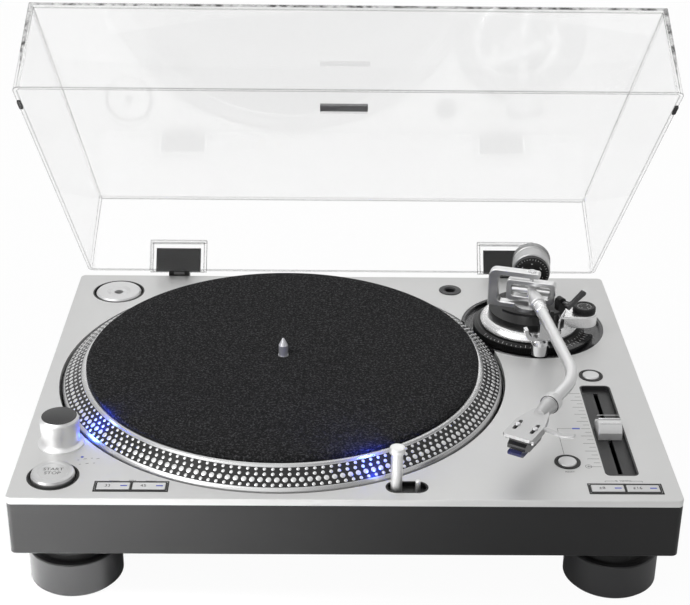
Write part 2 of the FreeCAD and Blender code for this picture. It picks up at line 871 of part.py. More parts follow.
def height_ring():
    """The black ring that raises and lowers the arm when it is turned."""
    turn = Piece("height_ring", d.pivot_side, d.pivot_back)
    turn.revolve(outline(turn.sketch("XZ"), [
        (d.post_radius + d.run_gap, -d.dish_level + d.move_gap),
        (d.ring_radius - 0.8, -d.dish_level + d.move_gap),
        (d.ring_radius, -d.dish_level + d.move_gap + 0.8), (d.ring_radius, d.ring_level - 1.6),
        (d.ring_radius - 3, d.ring_level), (d.post_radius + d.run_gap, d.ring_level),
    ]))


def arm_platform():
    """The silver base of the arm: post, cone shoulder and the pod of the right-hand knob."""
    base = Piece("arm_platform", d.pivot_side, d.pivot_back)
    low = d.ring_level + d.move_gap
    base.revolve(outline(base.sketch("XZ"), [
        (12, -26), (d.post_radius, -26), (d.post_radius, low), (d.platform_radius - 0.8, low),
        (d.platform_radius, low + 0.8), (d.platform_radius, low + 2.2),
        ("arc", (d.platform_radius - 1.3, low + 4.4), (d.platform_top_radius, d.platform_level)),
        (12, d.platform_level),
    ]))
    pod = base.sketch(lift=low + 5)
    x, y, r = d.pod_side, -d.pod_front, d.pod_radius
    outline(pod, [
        (x - 21, y - r), (x, y - r), ("arc", (x + r, y), (x, y + r)), (x - 21, y + r),
    ])
    base.pad(pod, d.pod_level - low - 5)
    base.fillet(1.5, lambda edge: flat_at(d.pod_level)(edge))
    bore = circle(base.sketch(lift=d.pod_level), 2.0 + d.run_gap, x, y)
    base.pocket(bore, 6)
    dip = circle(base.sketch(lift=d.platform_level), d.plunger_radius + d.run_gap * 2,
                 *lift_place())
    base.pocket(dip, 5.8)


def anti_skate_knob():
    """The knurled knob on the pod."""
    knob = Piece("anti_skate_knob", d.pivot_side + d.pod_side, d.pivot_back - d.pod_front,
                 d.pod_level + d.move_gap)
    r, tall = d.skate_radius, d.skate_height
    knob.revolve(outline(knob.sketch("XZ"), [
        (0, -5), (2.0, -5), (2.0, 0), (r - 0.4, 0), (r, 0.5), (r, tall - 0.8), (r - 0.8, tall),
        (r - 2.4, tall), (r - 2.8, tall - 0.6), (0, tall - 0.6),
    ]))


def gimbal_drum():
    """The black drum that the yoke stands on, cut back where the weight dips."""
    tall = d.drum_level - d.platform_level
    drum = Piece("gimbal_drum", d.pivot_side, d.pivot_back, d.platform_level)
    drum.pad(ring(drum.sketch(), d.drum_radius, 11), tall)
    r, out = d.drum_relief, d.drum_radius + 3
    relief = outline(drum.sketch(lift=tall), [
        around(r, -2), around(out, -2), ("arc", around(out, 56), around(out, 120)),
        around(r, 120), ("arc", around(r, 56), around(r, -2)),
    ])
    drum.pocket(relief, tall)
    edge = d.pod_side - 21 - 0.1
    notch = outline(drum.sketch(lift=tall), [
        (edge, -d.pod_front - d.pod_radius - 0.1), (edge + 30, -d.pod_front - d.pod_radius - 0.1),
        (edge + 30, 2), (edge, 2),
    ])
    drum.pocket(notch, tall)
    x, y = lift_place()
    drum.pad(circle(drum.sketch(), d.plunger_radius + 2.2, x, y), tall + 2.2)
    drum.pocket(circle(drum.sketch(lift=tall + 2.2), d.plunger_radius + d.run_gap, x, y), tall + 2.2)


def around(radius, angle):
    """Returns the point at a radius and an angle from +X."""
    return size(radius) * cosine(angle), size(radius) * sine(angle)


def lift_place():
    """Returns where the lift bar's plunger stands, from the arm's pivot."""
    return around(d.lift_radius - 5, -60)


def gimbal_yoke():
    """The silver C-shaped yoke with its two upright pivot screws."""
    yoke = Piece("gimbal_yoke", d.pivot_side, d.pivot_back, 0, angle=-d.gimbal_turn)
    left, reach, bar = -d.yoke_outer, d.yoke_reach, d.yoke_bar
    low, high = d.drum_level, d.yoke_level
    inside = left + d.yoke_spine
    front = yoke.sketch("XZ")
    outline(front, [
        (left, low), (reach, low), (reach, low + bar - 1), (inside + 3, low + bar - 1),
        ("arc", (inside + 0.88, low + bar - 0.12), (inside, low + bar + 2)),
        (inside, high - bar - 3),
        ("arc", (inside + 0.88, high - bar - 0.88), (inside + 3, high - bar)),
        (reach - 0.6, high - bar), (reach, high - bar + 0.6), (reach, high - 1.2),
        (reach - 1.2, high), (left + 6, high),
        ("arc", (left + 1.757, high - 1.757), (left, high - 6)),
    ])
    yoke.pad(front, d.yoke_depth, middle=True)
    half = d.yoke_depth / 2
    yoke.chamfer(0.7, lambda edge: (
        abs(abs(edge.BoundBox.YMin) - half.value) < 1e-3
        and abs(edge.BoundBox.YLength) < 1e-3
        and edge.BoundBox.ZMin > low.value + 0.5
    ))
    yoke.pad(circle(yoke.sketch(lift=low), 13), bar - 1)
    pin = d.pivot_pin_radius
    frame_top = d.pivot_level + d.frame_height / 2
    frame_low = d.pivot_level - d.frame_height / 2
    yoke.pad(circle(yoke.sketch(lift=frame_top - 2), pin), high - frame_top + 1)
    yoke.pad(circle(yoke.sketch(lift=low + bar - 1.5), pin), frame_low - low - bar + 3.5)
    yoke.pad(circle(yoke.sketch(lift=high - 1), 2.4), 1.5)


def gimbal_frame():
    """The inner frame that swings about the upright axis and carries the level one."""
    frame = Piece("gimbal_frame", d.pivot_side, d.pivot_back, d.pivot_level,
                  angle=-d.gimbal_turn)
    wide, tall, bar = d.frame_half * 2, d.frame_height, d.frame_bar
    front = frame.sketch("XZ")
    slab(front, wide, tall, 3)
    slab(front, wide - bar * 2, tall - bar * 2, 2)
    frame.pad(front, d.frame_depth, middle=True)
    half = d.frame_depth / 2
    frame.chamfer(0.5, lambda edge: (
        abs(abs(edge.BoundBox.YMin) - half.value) < 1e-3
        and abs(edge.BoundBox.YLength) < 1e-3
    ))
    hole = d.pivot_pin_radius + d.run_gap
    frame.pocket(circle(frame.sketch(lift=tall / 2), hole), 3)
    frame.pocket(circle(frame.sketch(lift=-tall / 2), hole), 3, back=True)
    frame.pocket(circle(frame.sketch("YZ", lift=d.frame_half), hole), bar + 1)
    frame.pocket(circle(frame.sketch("YZ", lift=-d.frame_half), hole), bar + 1, back=True)


def arm_point(across, ahead, turn=None, start=None):
    """Returns the point beside and ahead of the pivot, looking along the tube's first run."""
    turn = d.tube_turn if turn is None else turn
    x, y = start or (d.pivot_side, d.pivot_back)
    across, ahead = size(across), size(ahead)
    return (x + across * cosine(turn) + ahead * sine(turn),
            y + across * sine(turn) - ahead * cosine(turn))


def arm_pivot():
    """The pivot barrel in the frame, with its level axle and the stub for the weight."""
    core = Piece("arm_pivot", d.pivot_side, d.pivot_back, d.pivot_level, angle=d.tube_turn)
    neck, barrel, reach = d.neck_radius, d.barrel_radius, d.barrel_reach
    socket = d.tube_radius + 0.01
    core.revolve(outline(core.sketch("XY"), [
        (0, 4), (neck - 0.5, 4), (neck, 3.5), (neck, -6), (barrel - 0.8, -12),
        (barrel, -reach + 3), (barrel, -reach + 0.5), (barrel - 0.5, -reach),
        (socket, -reach), (socket, -reach + 8), (0, -reach + 8),
    ]))
    lean = -(d.stub_turn + d.tube_turn)
    rear = core.sketch("XZ")
    swing_sketch(rear, lean, 0)
    core.pad(circle(rear, neck), 12, back=True)
    stub = core.sketch("XZ")
    swing_sketch(stub, lean, -11)
    core.pad(circle(stub, d.stub_radius), d.stub_reach - 11, back=True)
    inner = d.frame_half - d.frame_bar - d.move_gap
    turn = -(d.gimbal_turn + d.tube_turn)
    axle = core.sketch("YZ")
    swing_sketch(axle, turn, 0)
    core.pad(circle(axle, 2.9), inner * 2, middle=True)
    ends = core.sketch("YZ")
    swing_sketch(ends, turn, 0)
    core.pad(circle(ends, d.pivot_pin_radius), (inner + 2.4) * 2, middle=True)


def swing_sketch(sketch, turn, ahead):
    """Turns an upright sketch about its body's Z axis and moves it along its own normal."""
    turn, ahead = size(turn), size(ahead)
    spin = Rotation(Vector(0, 1, 0), turn.value)
    sketch.AttachmentOffset = FreeCAD.Placement(Vector(0, 0, 0), spin)
    bind(sketch, "AttachmentOffset.Rotation.Angle", turn)
    bind(sketch, "AttachmentOffset.Base.x", ahead * sine(turn))
    bind(sketch, "AttachmentOffset.Base.z", ahead * cosine(turn))


def arm_tube():
    """The S-bent tube, hollow all along."""
    tube = Piece("arm_tube", d.pivot_side, d.pivot_back, d.pivot_level, angle=d.tube_turn)
    r, half, bend = d.tube_bend_radius, d.tube_bend / 2, d.tube_bend
    lead = r * tangent(half)
    start = d.barrel_reach - 7.9
    first = d.tube_first_run - lead
    last = d.tube_second_run - d.shell_reach

    def after(distance):
        return -distance * sine(bend), -d.tube_first_run - distance * cosine(bend)

    path = tube.sketch("XY")
    outline(path, [
        (0, -start), (0, -first),
        ("arc", (r * cosine(half) - r, -first - r * sine(half)), after(lead)),
        after(last),
    ], closed=False)
    profile = tube.sketch("XZ", lift=start)
    ring(profile, d.tube_radius, d.tube_radius - d.tube_wall)
    tube.pipe(profile, path)


def weight_dial():
    """The numbered force dial ahead of the weight."""
    dial = Piece("weight_dial", d.pivot_side, d.pivot_back, d.pivot_level, angle=-d.stub_turn)
    bore, r = d.stub_radius + d.run_gap, d.dial_radius
    y = d.dial_start
    dial.revolve(outline(dial.sketch("XY"), [
        (bore, y), (r - 4.6, y), (r - 0.6, y + 1.2), (r, y + 1.8), (r, y + d.dial_length),
        (bore, y + d.dial_length),
    ]))


def counterweight():
    """The heavy weight behind the dial, grooved round its rear."""
    weight = Piece("counterweight", d.pivot_side, d.pivot_back, d.pivot_level,
                   angle=-d.stub_turn)
    bore, r = d.stub_radius + d.run_gap, d.weight_radius
    y = d.dial_start + d.dial_length + d.run_gap * 4
    end = y + d.weight_length
    weight.revolve(outline(weight.sketch("XY"), [
        (bore, y), (r - 0.8, y), (r, y + 0.8), (r, y + 9), (r - 0.7, y + 9.5), (r - 0.7, end - 9),
        (r, end - 8.5), (r, end - 1), (r - 1, end), (r - 5, end), (r - 6, end - 1.2),
        (bore, end - 1.2),
    ]))


def stylus_spot():
    """Returns the place of the stylus axis."""
    return arm_point(0, d.tube_second_run, stylus_turn, arm_point(0, d.tube_first_run))


def shell_piece(label):
    """Starts a piece in the frame of the headshell, over the stylus."""
    x, y = stylus_spot()
    return Piece(label, x, y, d.pivot_level, angle=stylus_turn)


def locking_collar():
    """The knurled collar that locks the headshell's plug."""
    collar = shell_piece("locking_collar")
    bore, r = d.tube_radius + d.run_gap, d.lock_collar_radius
    low, high = d.shell_reach + 0.1, d.shell_reach + d.lock_collar_length
    collar.revolve(outline(collar.sketch("XY"), [
        (bore, low), (r - 0.9, low), (r, low + 0.9), (r, high - 2.4), (r - 0.6, high - 1.8),
        (r - 1.4, high), (bore, high),
    ]))


def headshell():
    """The headshell: slotted deck, turned-down sides, neck, plug and finger lift."""
    shell = shell_piece("headshell")
    top = d.shell_level - d.pivot_level
    under = top - d.shell_sheet
    front, rear = -d.shell_overhang, d.shell_reach
    wide, slim = d.shell_front_half, d.shell_rear_half
    plug = d.tube_radius - d.tube_wall - d.run_gap
    shoulder = rear - 17
    shell.revolve(outline(shell.sketch("XY"), [
        (0, rear + 8), (plug, rear + 8), (plug, rear), (d.lock_collar_radius - 0.9, rear),
        (d.lock_collar_radius - 0.9, rear - 1.2), (5.2, rear - 6), (4.4, shoulder),
        (0, shoulder),
    ]))
    deck = outline(shell.sketch(lift=under), [
        (-wide + 1.5, front), (wide - 1.5, front), (wide, front + 1.5), (wide, 16),
        (slim, shoulder + 3), (3.6, rear - 9), (-3.6, rear - 9), (-slim, shoulder + 3),
        (-wide, 16), (-wide, front + 1.5),
    ])
    shell.pad(deck, d.shell_sheet)
    flanges = shell.sketch(lift=under)
    for hand in (-1, 1):
        outline(flanges, [
            (hand * wide, front + 4), (hand * wide, 16), (hand * slim, shoulder + 3),
            (hand * (slim - 1.6), shoulder + 3), (hand * (wide - 1.6), 15.6),
            (hand * (wide - 1.6), front + 4),
        ][::hand])
    shell.pad(flanges, 3.6, back=True)
    slots = shell.sketch(lift=top)
    for hand in (-1, 1):
        oblong(slots, size(11), 1.35, hand * 6.35, 9, along_x=False)
    shell.pocket(slots, d.shell_sheet)
    lift = shell.sketch("XZ", lift=-13)
    outline(lift, [
        (wide - 0.6, under), (wide + 13, under - 1.2), (wide + 22, under + 1.4),
        (wide + 22.4, under + 2.6), (wide + 21.4, under + 3), (wide + 12.8, under + 0.6),
        (wide - 0.6, under + 1.9),
    ])
    shell.pad(lift, 3.2, back=True)


def cartridge():
    """The cartridge body under the deck, with its four contact pins."""
    body = shell_piece("cartridge")
    top = d.shell_level - d.pivot_level - d.shell_sheet
    half = d.cartridge_half
    side = outline(body.sketch("YZ"), [
        (23, top), (-3.5, top), (-3.5, top - 3.4), (-6, top - 5), (-6, top - 8), (2, top - 12),
        (20, top - 12), (23, top - 9.5),
    ])
    body.pad(side, (half - 0.2) * 2 - 1.6 * 2, middle=True)
    ears = outline(body.sketch(lift=top), [
        (-half + 0.4, 6), (half - 0.4, 6), (half - 0.4, 12), (-half + 0.4, 12),
    ])
    body.pad(ears, 3.2, back=True)
    pins = body.sketch("XZ", lift=-23)
    for x in (-3.2, 3.2):
        for z in (-5.6, -2.6):
            circle(pins, 0.6, x, top + z)
    body.pad(pins, 4, back=True)


def stylus():
    """The blue stylus carrier with its cantilever and tip."""
    tip = shell_piece("stylus")
    top = d.shell_level - d.pivot_level - d.shell_sheet - 12
    point_z = d.stylus_level - d.pivot_level
    side = outline(tip.sketch("YZ"), [
        (2, top - 0.2), (-6.2, top + 3.8), (-9.5, top + 3.3), (-9.2, top + 1.1),
        (-4.5, top - 1.8), (9, top - 1.8), (12, top - 0.2),
    ])
    tip.pad(side, 9.6, middle=True)
    rod = outline(tip.sketch("YZ"), [
        (6, top - 1.6), (6, top - 2.3), (0.3, point_z + 0.25), (0, point_z),
        (-0.3, point_z + 0.6), (-0.3, point_z + 1.0), (5, top - 1.6),
    ])
    tip.pad(rod, 0.7, middle=True)


def lift_bar():
    """The curved bar that lifts the tube, on its plunger."""
    bar = Piece("lift_bar", d.pivot_side, d.pivot_back, 0)
    high = d.pivot_level - d.tube_radius - d.move_gap
    low = high - 2
    r, half = d.lift_radius, 1.7
    shape = outline(bar.sketch(lift=low), [
        around(r - half, -56), around(r - half, -58),
        ("arc", around(r - half, -97), around(r - half, -136)), around(r + half, -136),
        ("arc", around(r + half, -97), around(r + half, -58)), around(r + half, -56),
    ])
    bar.pad(shape, 2)
    x, y = lift_place()
    arm = outline(bar.sketch(lift=low), [
        around(r - 8, -53), ("arc", around(r - 9.5, -60), around(r - 8, -67)),
        around(r - 1, -64), around(r - 1, -57),
    ])
    bar.pad(arm, 2)
    bar.pad(circle(bar.sketch(lift=low + 1), d.plunger_radius, x, y), low - 12, back=True)


def cue_lever():
    """The bent lever that works the lift."""
    lever = Piece("cue_lever", d.pivot_side + d.lever_side, d.pivot_back - d.lever_front,
                  d.lever_level, angle=d.lever_turn)
    r, reach = d.lever_radius, d.lever_reach
    lever.pad(circle(lever.sketch("XZ"), r), reach)
    rise, length = d.handle_rise, d.handle_length
    along = (cosine(rise), sine(rise))
    side = (-along[1], along[0])

    def at(distance, offset):
        return along[0] * distance + side[0] * offset, along[1] * distance + side[1] * offset

    grip = outline(lever.sketch("XZ", lift=reach - 0.4), [
        at(-1.5, -1.9), at(5, -1.4), at(length - 1.3, -2.1),
        ("arc", at(length, 0), at(length - 1.3, 2.1)), at(5, 1.4), at(-1.5, 1.9),
        ("arc", at(-2.6, 0), at(-1.5, -1.9)),
    ])
    lever.pad(grip, 3.2)


def lever_bearing():
    """The block that the lever turns in."""
    block = Piece("lever_bearing", d.pivot_side + d.lever_side,
                  d.pivot_back - d.lever_front, d.lever_level, angle=d.lever_turn)
    low = d.pod_level - d.lever_level
    face = outline(block.sketch("XZ", lift=1), [
        (-3.4, low), (3.4, low), (3.4, 0), ("arc", (0, 3.4), (-3.4, 0)),
    ])
    block.pad(face, 5.5)
    block.pocket(circle(block.sketch("XZ", lift=6.5), d.lever_radius + d.run_gap), 5.5)


def lever_stay():
    """The thin bent rod that stops the lever, on its own small foot."""
    x, y = d.pivot_side + 18.7, d.pivot_back - 34.3
    stay = Piece("lever_stay", x, y, d.platform_level, angle=56.3)
    r, rise = 4, 22.2
    half = (90 - rise) / 2
    lead = r * math.tan(math.radians(half))
    apex, reach = 11, 11.6
    slope = (math.cos(math.radians(rise)), math.sin(math.radians(rise)))
    turn = math.radians(180 - half)
    path = outline(stay.sketch("XZ"), [
        (0, 0), (0, apex - lead),
        ("arc", (r + r * math.cos(turn), apex - lead + r * math.sin(turn)),
         (lead * slope[0], apex + lead * slope[1])),
        (reach * slope[0], apex + reach * slope[1]),
    ], closed=False)
    profile = circle(stay.sketch(), 0.9)
    stay.pipe(profile, path)
    stay.pad(circle(stay.sketch(), 2.3), 2.6)


def arm_rest():
    """The arm rest: bright drum, forked cradle and the pin of its lock."""
    x, y = arm_point(-d.rest_side, d.rest_front)
    rest = Piece("arm_rest", x, y, 0, angle=d.tube_turn)
    r = d.rest_drum_radius
    rest.revolve(outline(rest.sketch("XZ"), [
        (0, d.rest_foot_level), (r, d.rest_foot_level), (r, d.rest_drum_level - 4),
        (r - 0.7, d.rest_drum_level - 1.3), (r - 2.4, d.rest_drum_level),
        (0, d.rest_drum_level),
    ]))
    clear = circle(rest.sketch(lift=d.rest_foot_level), d.ring_radius + 0.4,
                   d.rest_side, d.rest_front)
    rest.pocket(clear, lug_level() - d.rest_foot_level, back=True)
    mid = d.rest_side
    seat = d.pivot_level - d.tube_radius - 0.04
    high = d.rest_drum_level
    fork = outline(rest.sketch("XZ"), [
        (mid - 15.4, high + 9), (mid - 12.6, high + 9.5),
        ("arc", (mid - 10.6, high + 4.2), (mid - 5.6, high + 2.4)),
        (mid - 3.6, high + 2.4), (mid - 3.6, seat - 1), (mid - 3, seat), (mid + 3, seat),
        (mid + 4.4, seat - 1), (mid + 4.4, high + 2), (mid + 2, high - 1), (mid - 7, high - 1),
        ("arc", (mid - 13.2, high + 2.6), (mid - 15.4, high + 9)),
    ])
    rest.pad(fork, d.fork_depth, middle=True)
    pin = circle(rest.sketch("YZ", lift=mid + 4), 1.5, 0, d.lock_level)
    rest.pad(pin, d.lock_thick + 1.4)


def lug_level():
    """Returns the upper face of the lug that the arm rest stands on."""
    return d.ring_level + d.move_gap + 3


def arm_lock():
    """The round lock beside the tube, with its finger tab."""
    x, y = arm_point(0, d.rest_front)
    lock = Piece("arm_lock", x, y, d.lock_level, angle=d.tube_turn)
    start = size(4.4) + 0.3
    r = d.lock_radius
    disc = lock.sketch("YZ", lift=start)
    ring(disc, r, 1.5 + d.run_gap)
    lock.pad(disc, d.lock_thick)
    lock.pocket(ring(lock.sketch("YZ", lift=start + d.lock_thick), r - 1.8, 3), 0.8)
    tab = outline(lock.sketch("YZ", lift=start), [
        (-2.2, r - 0.8), (1.6, r - 0.8), (3.4, r + 4), (-0.2, r + 4.6),
    ])
    lock.pad(tab, 2.6)


def rear_line(z):
    """Returns how far back the closed cover's rear face lies at a height above its rim."""
    return d.cover_rear - d.hinge_back - size(z) * tangent(d.cover_draft)


def cover_piece(label):
    """Starts a piece in the closed cover's frame, on the hinge line, and opens it."""
    return Piece(label, 0, d.hinge_back, d.hinge_level, axis=(-1, 0, 0), angle=d.open_angle)


def dust_cover():
    """The clear moulded cover with its two hinge pockets."""
    cover = cover_piece("dust_cover")
    rim = d.cover_rim_level - d.hinge_level
    back = rear_line(0)
    middle = back - d.cover_depth / 2
    wall = d.cover_wall
    outer = slab(cover.sketch(lift=rim), d.cover_width, d.cover_depth, 5, 0, middle)
    cover.pad(outer, d.cover_height, taper=-d.cover_draft)
    cover.fillet(1.6, flat_at(rim + d.cover_height))
    inner = slab(cover.sketch(lift=rim), d.cover_width - wall * 2, d.cover_depth - wall * 2,
                 2.5, 0, middle)
    cover.pocket(inner, d.cover_height - wall, back=True, taper=-d.cover_draft)
    slot = d.leaf_sheet + d.fit_gap * 3
    for hand in (-1, 1):
        x = d.hinge_side * hand
        tall = d.pocket_tall
        shell = outline(cover.sketch("YZ", lift=x), [
            (rear_line(0) - 0.5, rim), (rear_line(0) + slot + d.pocket_wall, rim),
            (rear_line(tall) + slot + d.pocket_wall, rim + tall - 1),
            (rear_line(tall) - 0.5, rim + tall),
        ])
        cover.pad(shell, d.pocket_wide, middle=True)
        inside = tall - d.pocket_wall
        room = outline(cover.sketch("YZ", lift=x), [
            (rear_line(-1), rim - 1), (rear_line(-1) + slot, rim - 1),
            (rear_line(inside) + slot, rim + inside), (rear_line(inside), rim + inside),
        ])
        cover.pocket(room, d.pocket_wide - d.pocket_wall * 2, middle=True)
        notch_top = d.knuckle_radius + 0.6
        notch = outline(cover.sketch("YZ", lift=x), [
            (rear_line(0) + 0.3, rim - 1), (rear_line(0) + slot + 5, rim - 1),
            (rear_line(0) + slot + 5, notch_top), (rear_line(0) + 0.3, notch_top),
        ])
        cover.pocket(notch, d.hinge_block_wide + 1.2, middle=True)


def hinge_leaves():
    """The two hinge plates in the cover's pockets, each with its knuckle."""
    leaf = cover_piece("hinge_leaves")
    rim = d.cover_rim_level - d.hinge_level
    tall = d.leaf_tall
    gap = d.fit_gap * 1.5
    thick = d.leaf_sheet
    for hand in (-1, 1):
        x = d.hinge_side * hand
        plate = outline(leaf.sketch("YZ", lift=x), [
            (rear_line(0) + gap, rim), (rear_line(0) + gap + thick, rim),
            (rear_line(tall) + gap + thick, rim + tall), (rear_line(tall) + gap, rim + tall),
        ])
        leaf.pad(plate, d.leaf_wide, middle=True)
        r = d.knuckle_radius
        lug = outline(leaf.sketch("YZ", lift=x), [
            (rear_line(-rim) + gap + 1, -r), (0, -r), ("arc", (r, 0), (0, r)),
            (rear_line(-rim) + gap + 1, r),
        ])
        leaf.pad(lug, d.knuckle_wide, middle=True)
        bore = circle(leaf.sketch("YZ", lift=x), d.hinge_pin_radius + d.run_gap)
        leaf.pocket(bore, d.knuckle_wide, middle=True)


def hinge_blocks():
    """The two blocks on the plinth's back, with ears and pins."""
    block = Piece("hinge_blocks", 0, d.hinge_back, d.hinge_level)
    face = d.plinth_depth / 2 - d.hinge_back
    r = d.knuckle_radius
    top = -d.hinge_level + 1
    half = d.hinge_block_wide / 2
    ear_inner = d.knuckle_wide / 2 + d.fit_gap * 2
    for hand in (-1, 1):
        x = d.hinge_side * hand
        body = outline(block.sketch("YZ", lift=x), [
            (face, -28), (face + 7, -28), (face + 10.5, -22), (face + 10.5, top - 3),
            (face + 8, top), (face, top),
        ])
        block.pad(body, d.hinge_block_wide, middle=True)
        for side in (-1, 1):
            middle = x + side * (ear_inner + half) / 2
            ear = outline(block.sketch("YZ", lift=middle), [
                (face + 0.3, top - 1), (r, top - 1), (r, 0), ("arc", (0, r), (-r, 0)),
                (face + 0.3, -2.4),
            ])
            block.pad(ear, half - ear_inner, middle=True)
        pin = circle(block.sketch("YZ", lift=x), d.hinge_pin_radius)
        block.pad(pin, d.hinge_block_wide - 1, middle=True)


def cover_bumpers():
    """The two soft stops under the cover's side rims, near its front corners."""
    bump = cover_piece("cover_bumpers")
    rim = d.cover_rim_level - d.hinge_level
    front = rear_line(0) - d.cover_depth + 24
    spots = bump.sketch(lift=rim)
    for hand in (-1, 1):
        oblong(spots, size(9), d.cover_wall / 2 - 0.1, hand * (d.cover_width - d.cover_wall) / 2,
               front, along_x=False)
    bump.pad(spots, d.cover_rim_level - 0.3, back=True)


def foot_cups():
    """The four round feet, each on its own levelling stud."""
    under = -(d.plate_edge + d.base_height + d.foot_height)
    r, wall, tall = d.foot_radius, d.foot_wall, d.foot_cup_height
    for name, x, y in foot_places():
        cup = Piece("foot_cup_" + name, x, y, under)
        stud = d.foot_stud_radius - d.run_gap
        cup.revolve(outline(cup.sketch("XZ"), [
            (0, 0), (r - 2, 0), (r, 2), (r, tall - 0.8), (r - 0.8, tall), (r - wall, tall),
            (r - wall, 5), (stud, 5), (stud, d.foot_height + 8), (0, d.foot_height + 8),
        ]))


def foot_isolators():
    """The rubber isolators between the plinth's collars and the feet."""
    under = -(d.plate_edge + d.base_height + d.foot_height)
    soft = Piece("foot_isolators", 0, 0, under)
    bore = d.foot_stud_radius + 0.5
    collar = d.foot_height - d.collar_drop
    inside = d.foot_radius - d.foot_wall - 0.4
    upper = soft.sketch(lift=d.foot_cup_height - 1)
    lower = soft.sketch(lift=5 + d.move_gap)
    for _, x, y in foot_places():
        ring(upper, d.collar_radius - 1, bore, x, y)
        ring(lower, inside, bore, x, y)
    soft.pad(upper, collar - d.foot_cup_height + 1)
    soft.pad(lower, d.foot_cup_height - 6 - d.move_gap + 0.01)


def strobe_tower():
    """The turret beside the platter, with a bore for its knob and a window."""
    tower = Piece("strobe_tower", -d.tower_side, -d.tower_front, 0, angle=d.tower_turn)
    r, skirt, top = d.tower_radius, d.tower_skirt_radius, d.tower_level
    plug = r - 2 - d.fit_gap
    tower.revolve(outline(tower.sketch("XZ"), [
        (3 + d.run_gap, -9), (plug, -9), (plug, 0), (skirt, 0), (skirt, 0.9),
        (r + 0.5, 2.4), (r, 3.2), (r, top), (3 + d.run_gap, top),
    ]))
    window = slab(tower.sketch("YZ", lift=r + 1), 10, 5.4, 1, 0, 6.2)
    tower.pocket(window, 5.5)


def strobe_lens():
    """The clear window of the strobe light."""
    lens = Piece("strobe_lens", -d.tower_side, -d.tower_front, 0, angle=d.tower_turn)
    face = slab(lens.sketch("YZ", lift=d.tower_radius - 4.4), 10 - d.fit_gap * 2,
                5.4 - d.fit_gap * 2, 0.9, 0, 6.2)
    lens.pad(face, 3.4)


def power_knob():
    """The power knob on the turret, with its finger notch and index slot."""
    knob = Piece("power_knob", -d.tower_side, -d.tower_front, d.tower_level + d.move_gap)
    r, tall = d.tower_radius, d.knob_level - d.tower_level - d.move_gap
    knob.revolve(outline(knob.sketch("XZ"), [
        (0, -8), (3, -8), (3, 0), (r, 0), (r, tall - 1.6), (r - 1.6, tall), (r - 2.6, tall),
        (r - 3.2, tall - 0.7), (0, tall - 0.7),
    ]))
    notch = circle(knob.sketch(lift=tall), 5.2, *around(r + 1.2, 128))
    knob.pocket(notch, 3.2)
    slot = slab(knob.sketch(lift=tall - 0.7), 6.5, 1.6, 0, -r + 6.4, 0)
    knob.pocket(slot, 0.9)


def control_cups():
    """The recessed cups and frames that the buttons, the lamp and the adaptor sit in."""
    cups = Piece("control_cups", 0, 0, 0)
    gap, wall, deep = d.fit_gap, d.cup_wall, d.cup_depth
    shells = cups.sketch(lift=-deep)
    circle(shells, d.start_cup_radius - gap, -d.start_side, -d.start_front)
    circle(shells, d.adaptor_cup_radius - gap, -d.adaptor_side, d.adaptor_back)
    for x in (-d.speed_keys_side, d.pitch_keys_side):
        slab(shells, d.key_long - gap * 2, d.key_wide - gap * 2, 1.4, x, -d.key_front)
    lamp_x = d.lamp_side + d.lamp_pitch / 2
    oblong(shells, d.lamp_pitch, d.lamp_slot_radius - gap, lamp_x, -d.lamp_front)
    cups.pad(shells, deep)
    rooms = cups.sketch()
    circle(rooms, d.start_radius + 0.4, -d.start_side, -d.start_front)
    half = (d.key_long - gap * 2 - 0.8 * 2 - d.key_divider) / 2
    for x in (-d.speed_keys_side, d.pitch_keys_side):
        for hand in (-1, 1):
            middle = x + hand * (half + d.key_divider) / 2
            slab(rooms, half, d.key_wide - gap * 2 - 0.8 * 2, 0.4, middle, -d.key_front)
    cups.pocket(rooms, deep - 1.5)
    lip = circle(cups.sketch(), d.start_cup_radius - wall, -d.start_side, -d.start_front)
    cups.pocket(lip, 1.4)
    dish = circle(cups.sketch(), d.adaptor_cup_radius - wall, -d.adaptor_side, d.adaptor_back)
    cups.pocket(dish, 6.6)
    tray = oblong(cups.sketch(), d.lamp_pitch, d.lamp_slot_radius - wall, lamp_x, -d.lamp_front)
    cups.pocket(tray, 3)
    sleeve = circle(cups.sketch(lift=-deep), d.lamp_radius + 1.6, d.lamp_side, -d.lamp_front)
    cups.pad(sleeve, 10, back=True)
    bores = cups.sketch(lift=-3)
    circle(bores, d.lamp_radius + d.run_gap, d.lamp_side, -d.lamp_front)
    circle(bores, d.pin_radius + d.run_gap, d.lamp_side + d.lamp_pitch, -d.lamp_front)
    cups.pocket(bores, deep + 7)


def start_button():
    """The large round button."""
    button = Piece("start_button", -d.start_side, -d.start_front, 0)
    r, top = d.start_radius, d.start_level
    button.revolve(outline(button.sketch("XZ"), [
        (0, -6), (r, -6), (r, top - 2.2), (r - 0.65, top - 0.65), (r - 2.2, top),
        (r - 4, top), (r - 5, top - 0.5), (0, top - 0.5),
    ]))


def keys():
    """The two pairs of long keys."""
    gap = d.fit_gap
    half = (d.key_long - gap * 2 - 0.8 * 2 - d.key_divider) / 2
    deep = d.key_wide - gap * 2 - 0.8 * 2
    rows = (("speed_button", -d.speed_keys_side, ("33", "45")),
            ("pitch_button", d.pitch_keys_side, ("low", "high")))
    for row_name, x, names in rows:
        for hand, name in zip((-1, 1), names):
            middle = x + hand * (half + d.key_divider) / 2
            key = Piece(f"{row_name}_{name}", middle, -d.key_front, -6)
            key.pad(slab(key.sketch(), half - gap * 4, deep - gap * 4, 0.6), d.key_level + 6)
            key.chamfer(0.3, flat_at(d.key_level + 6))


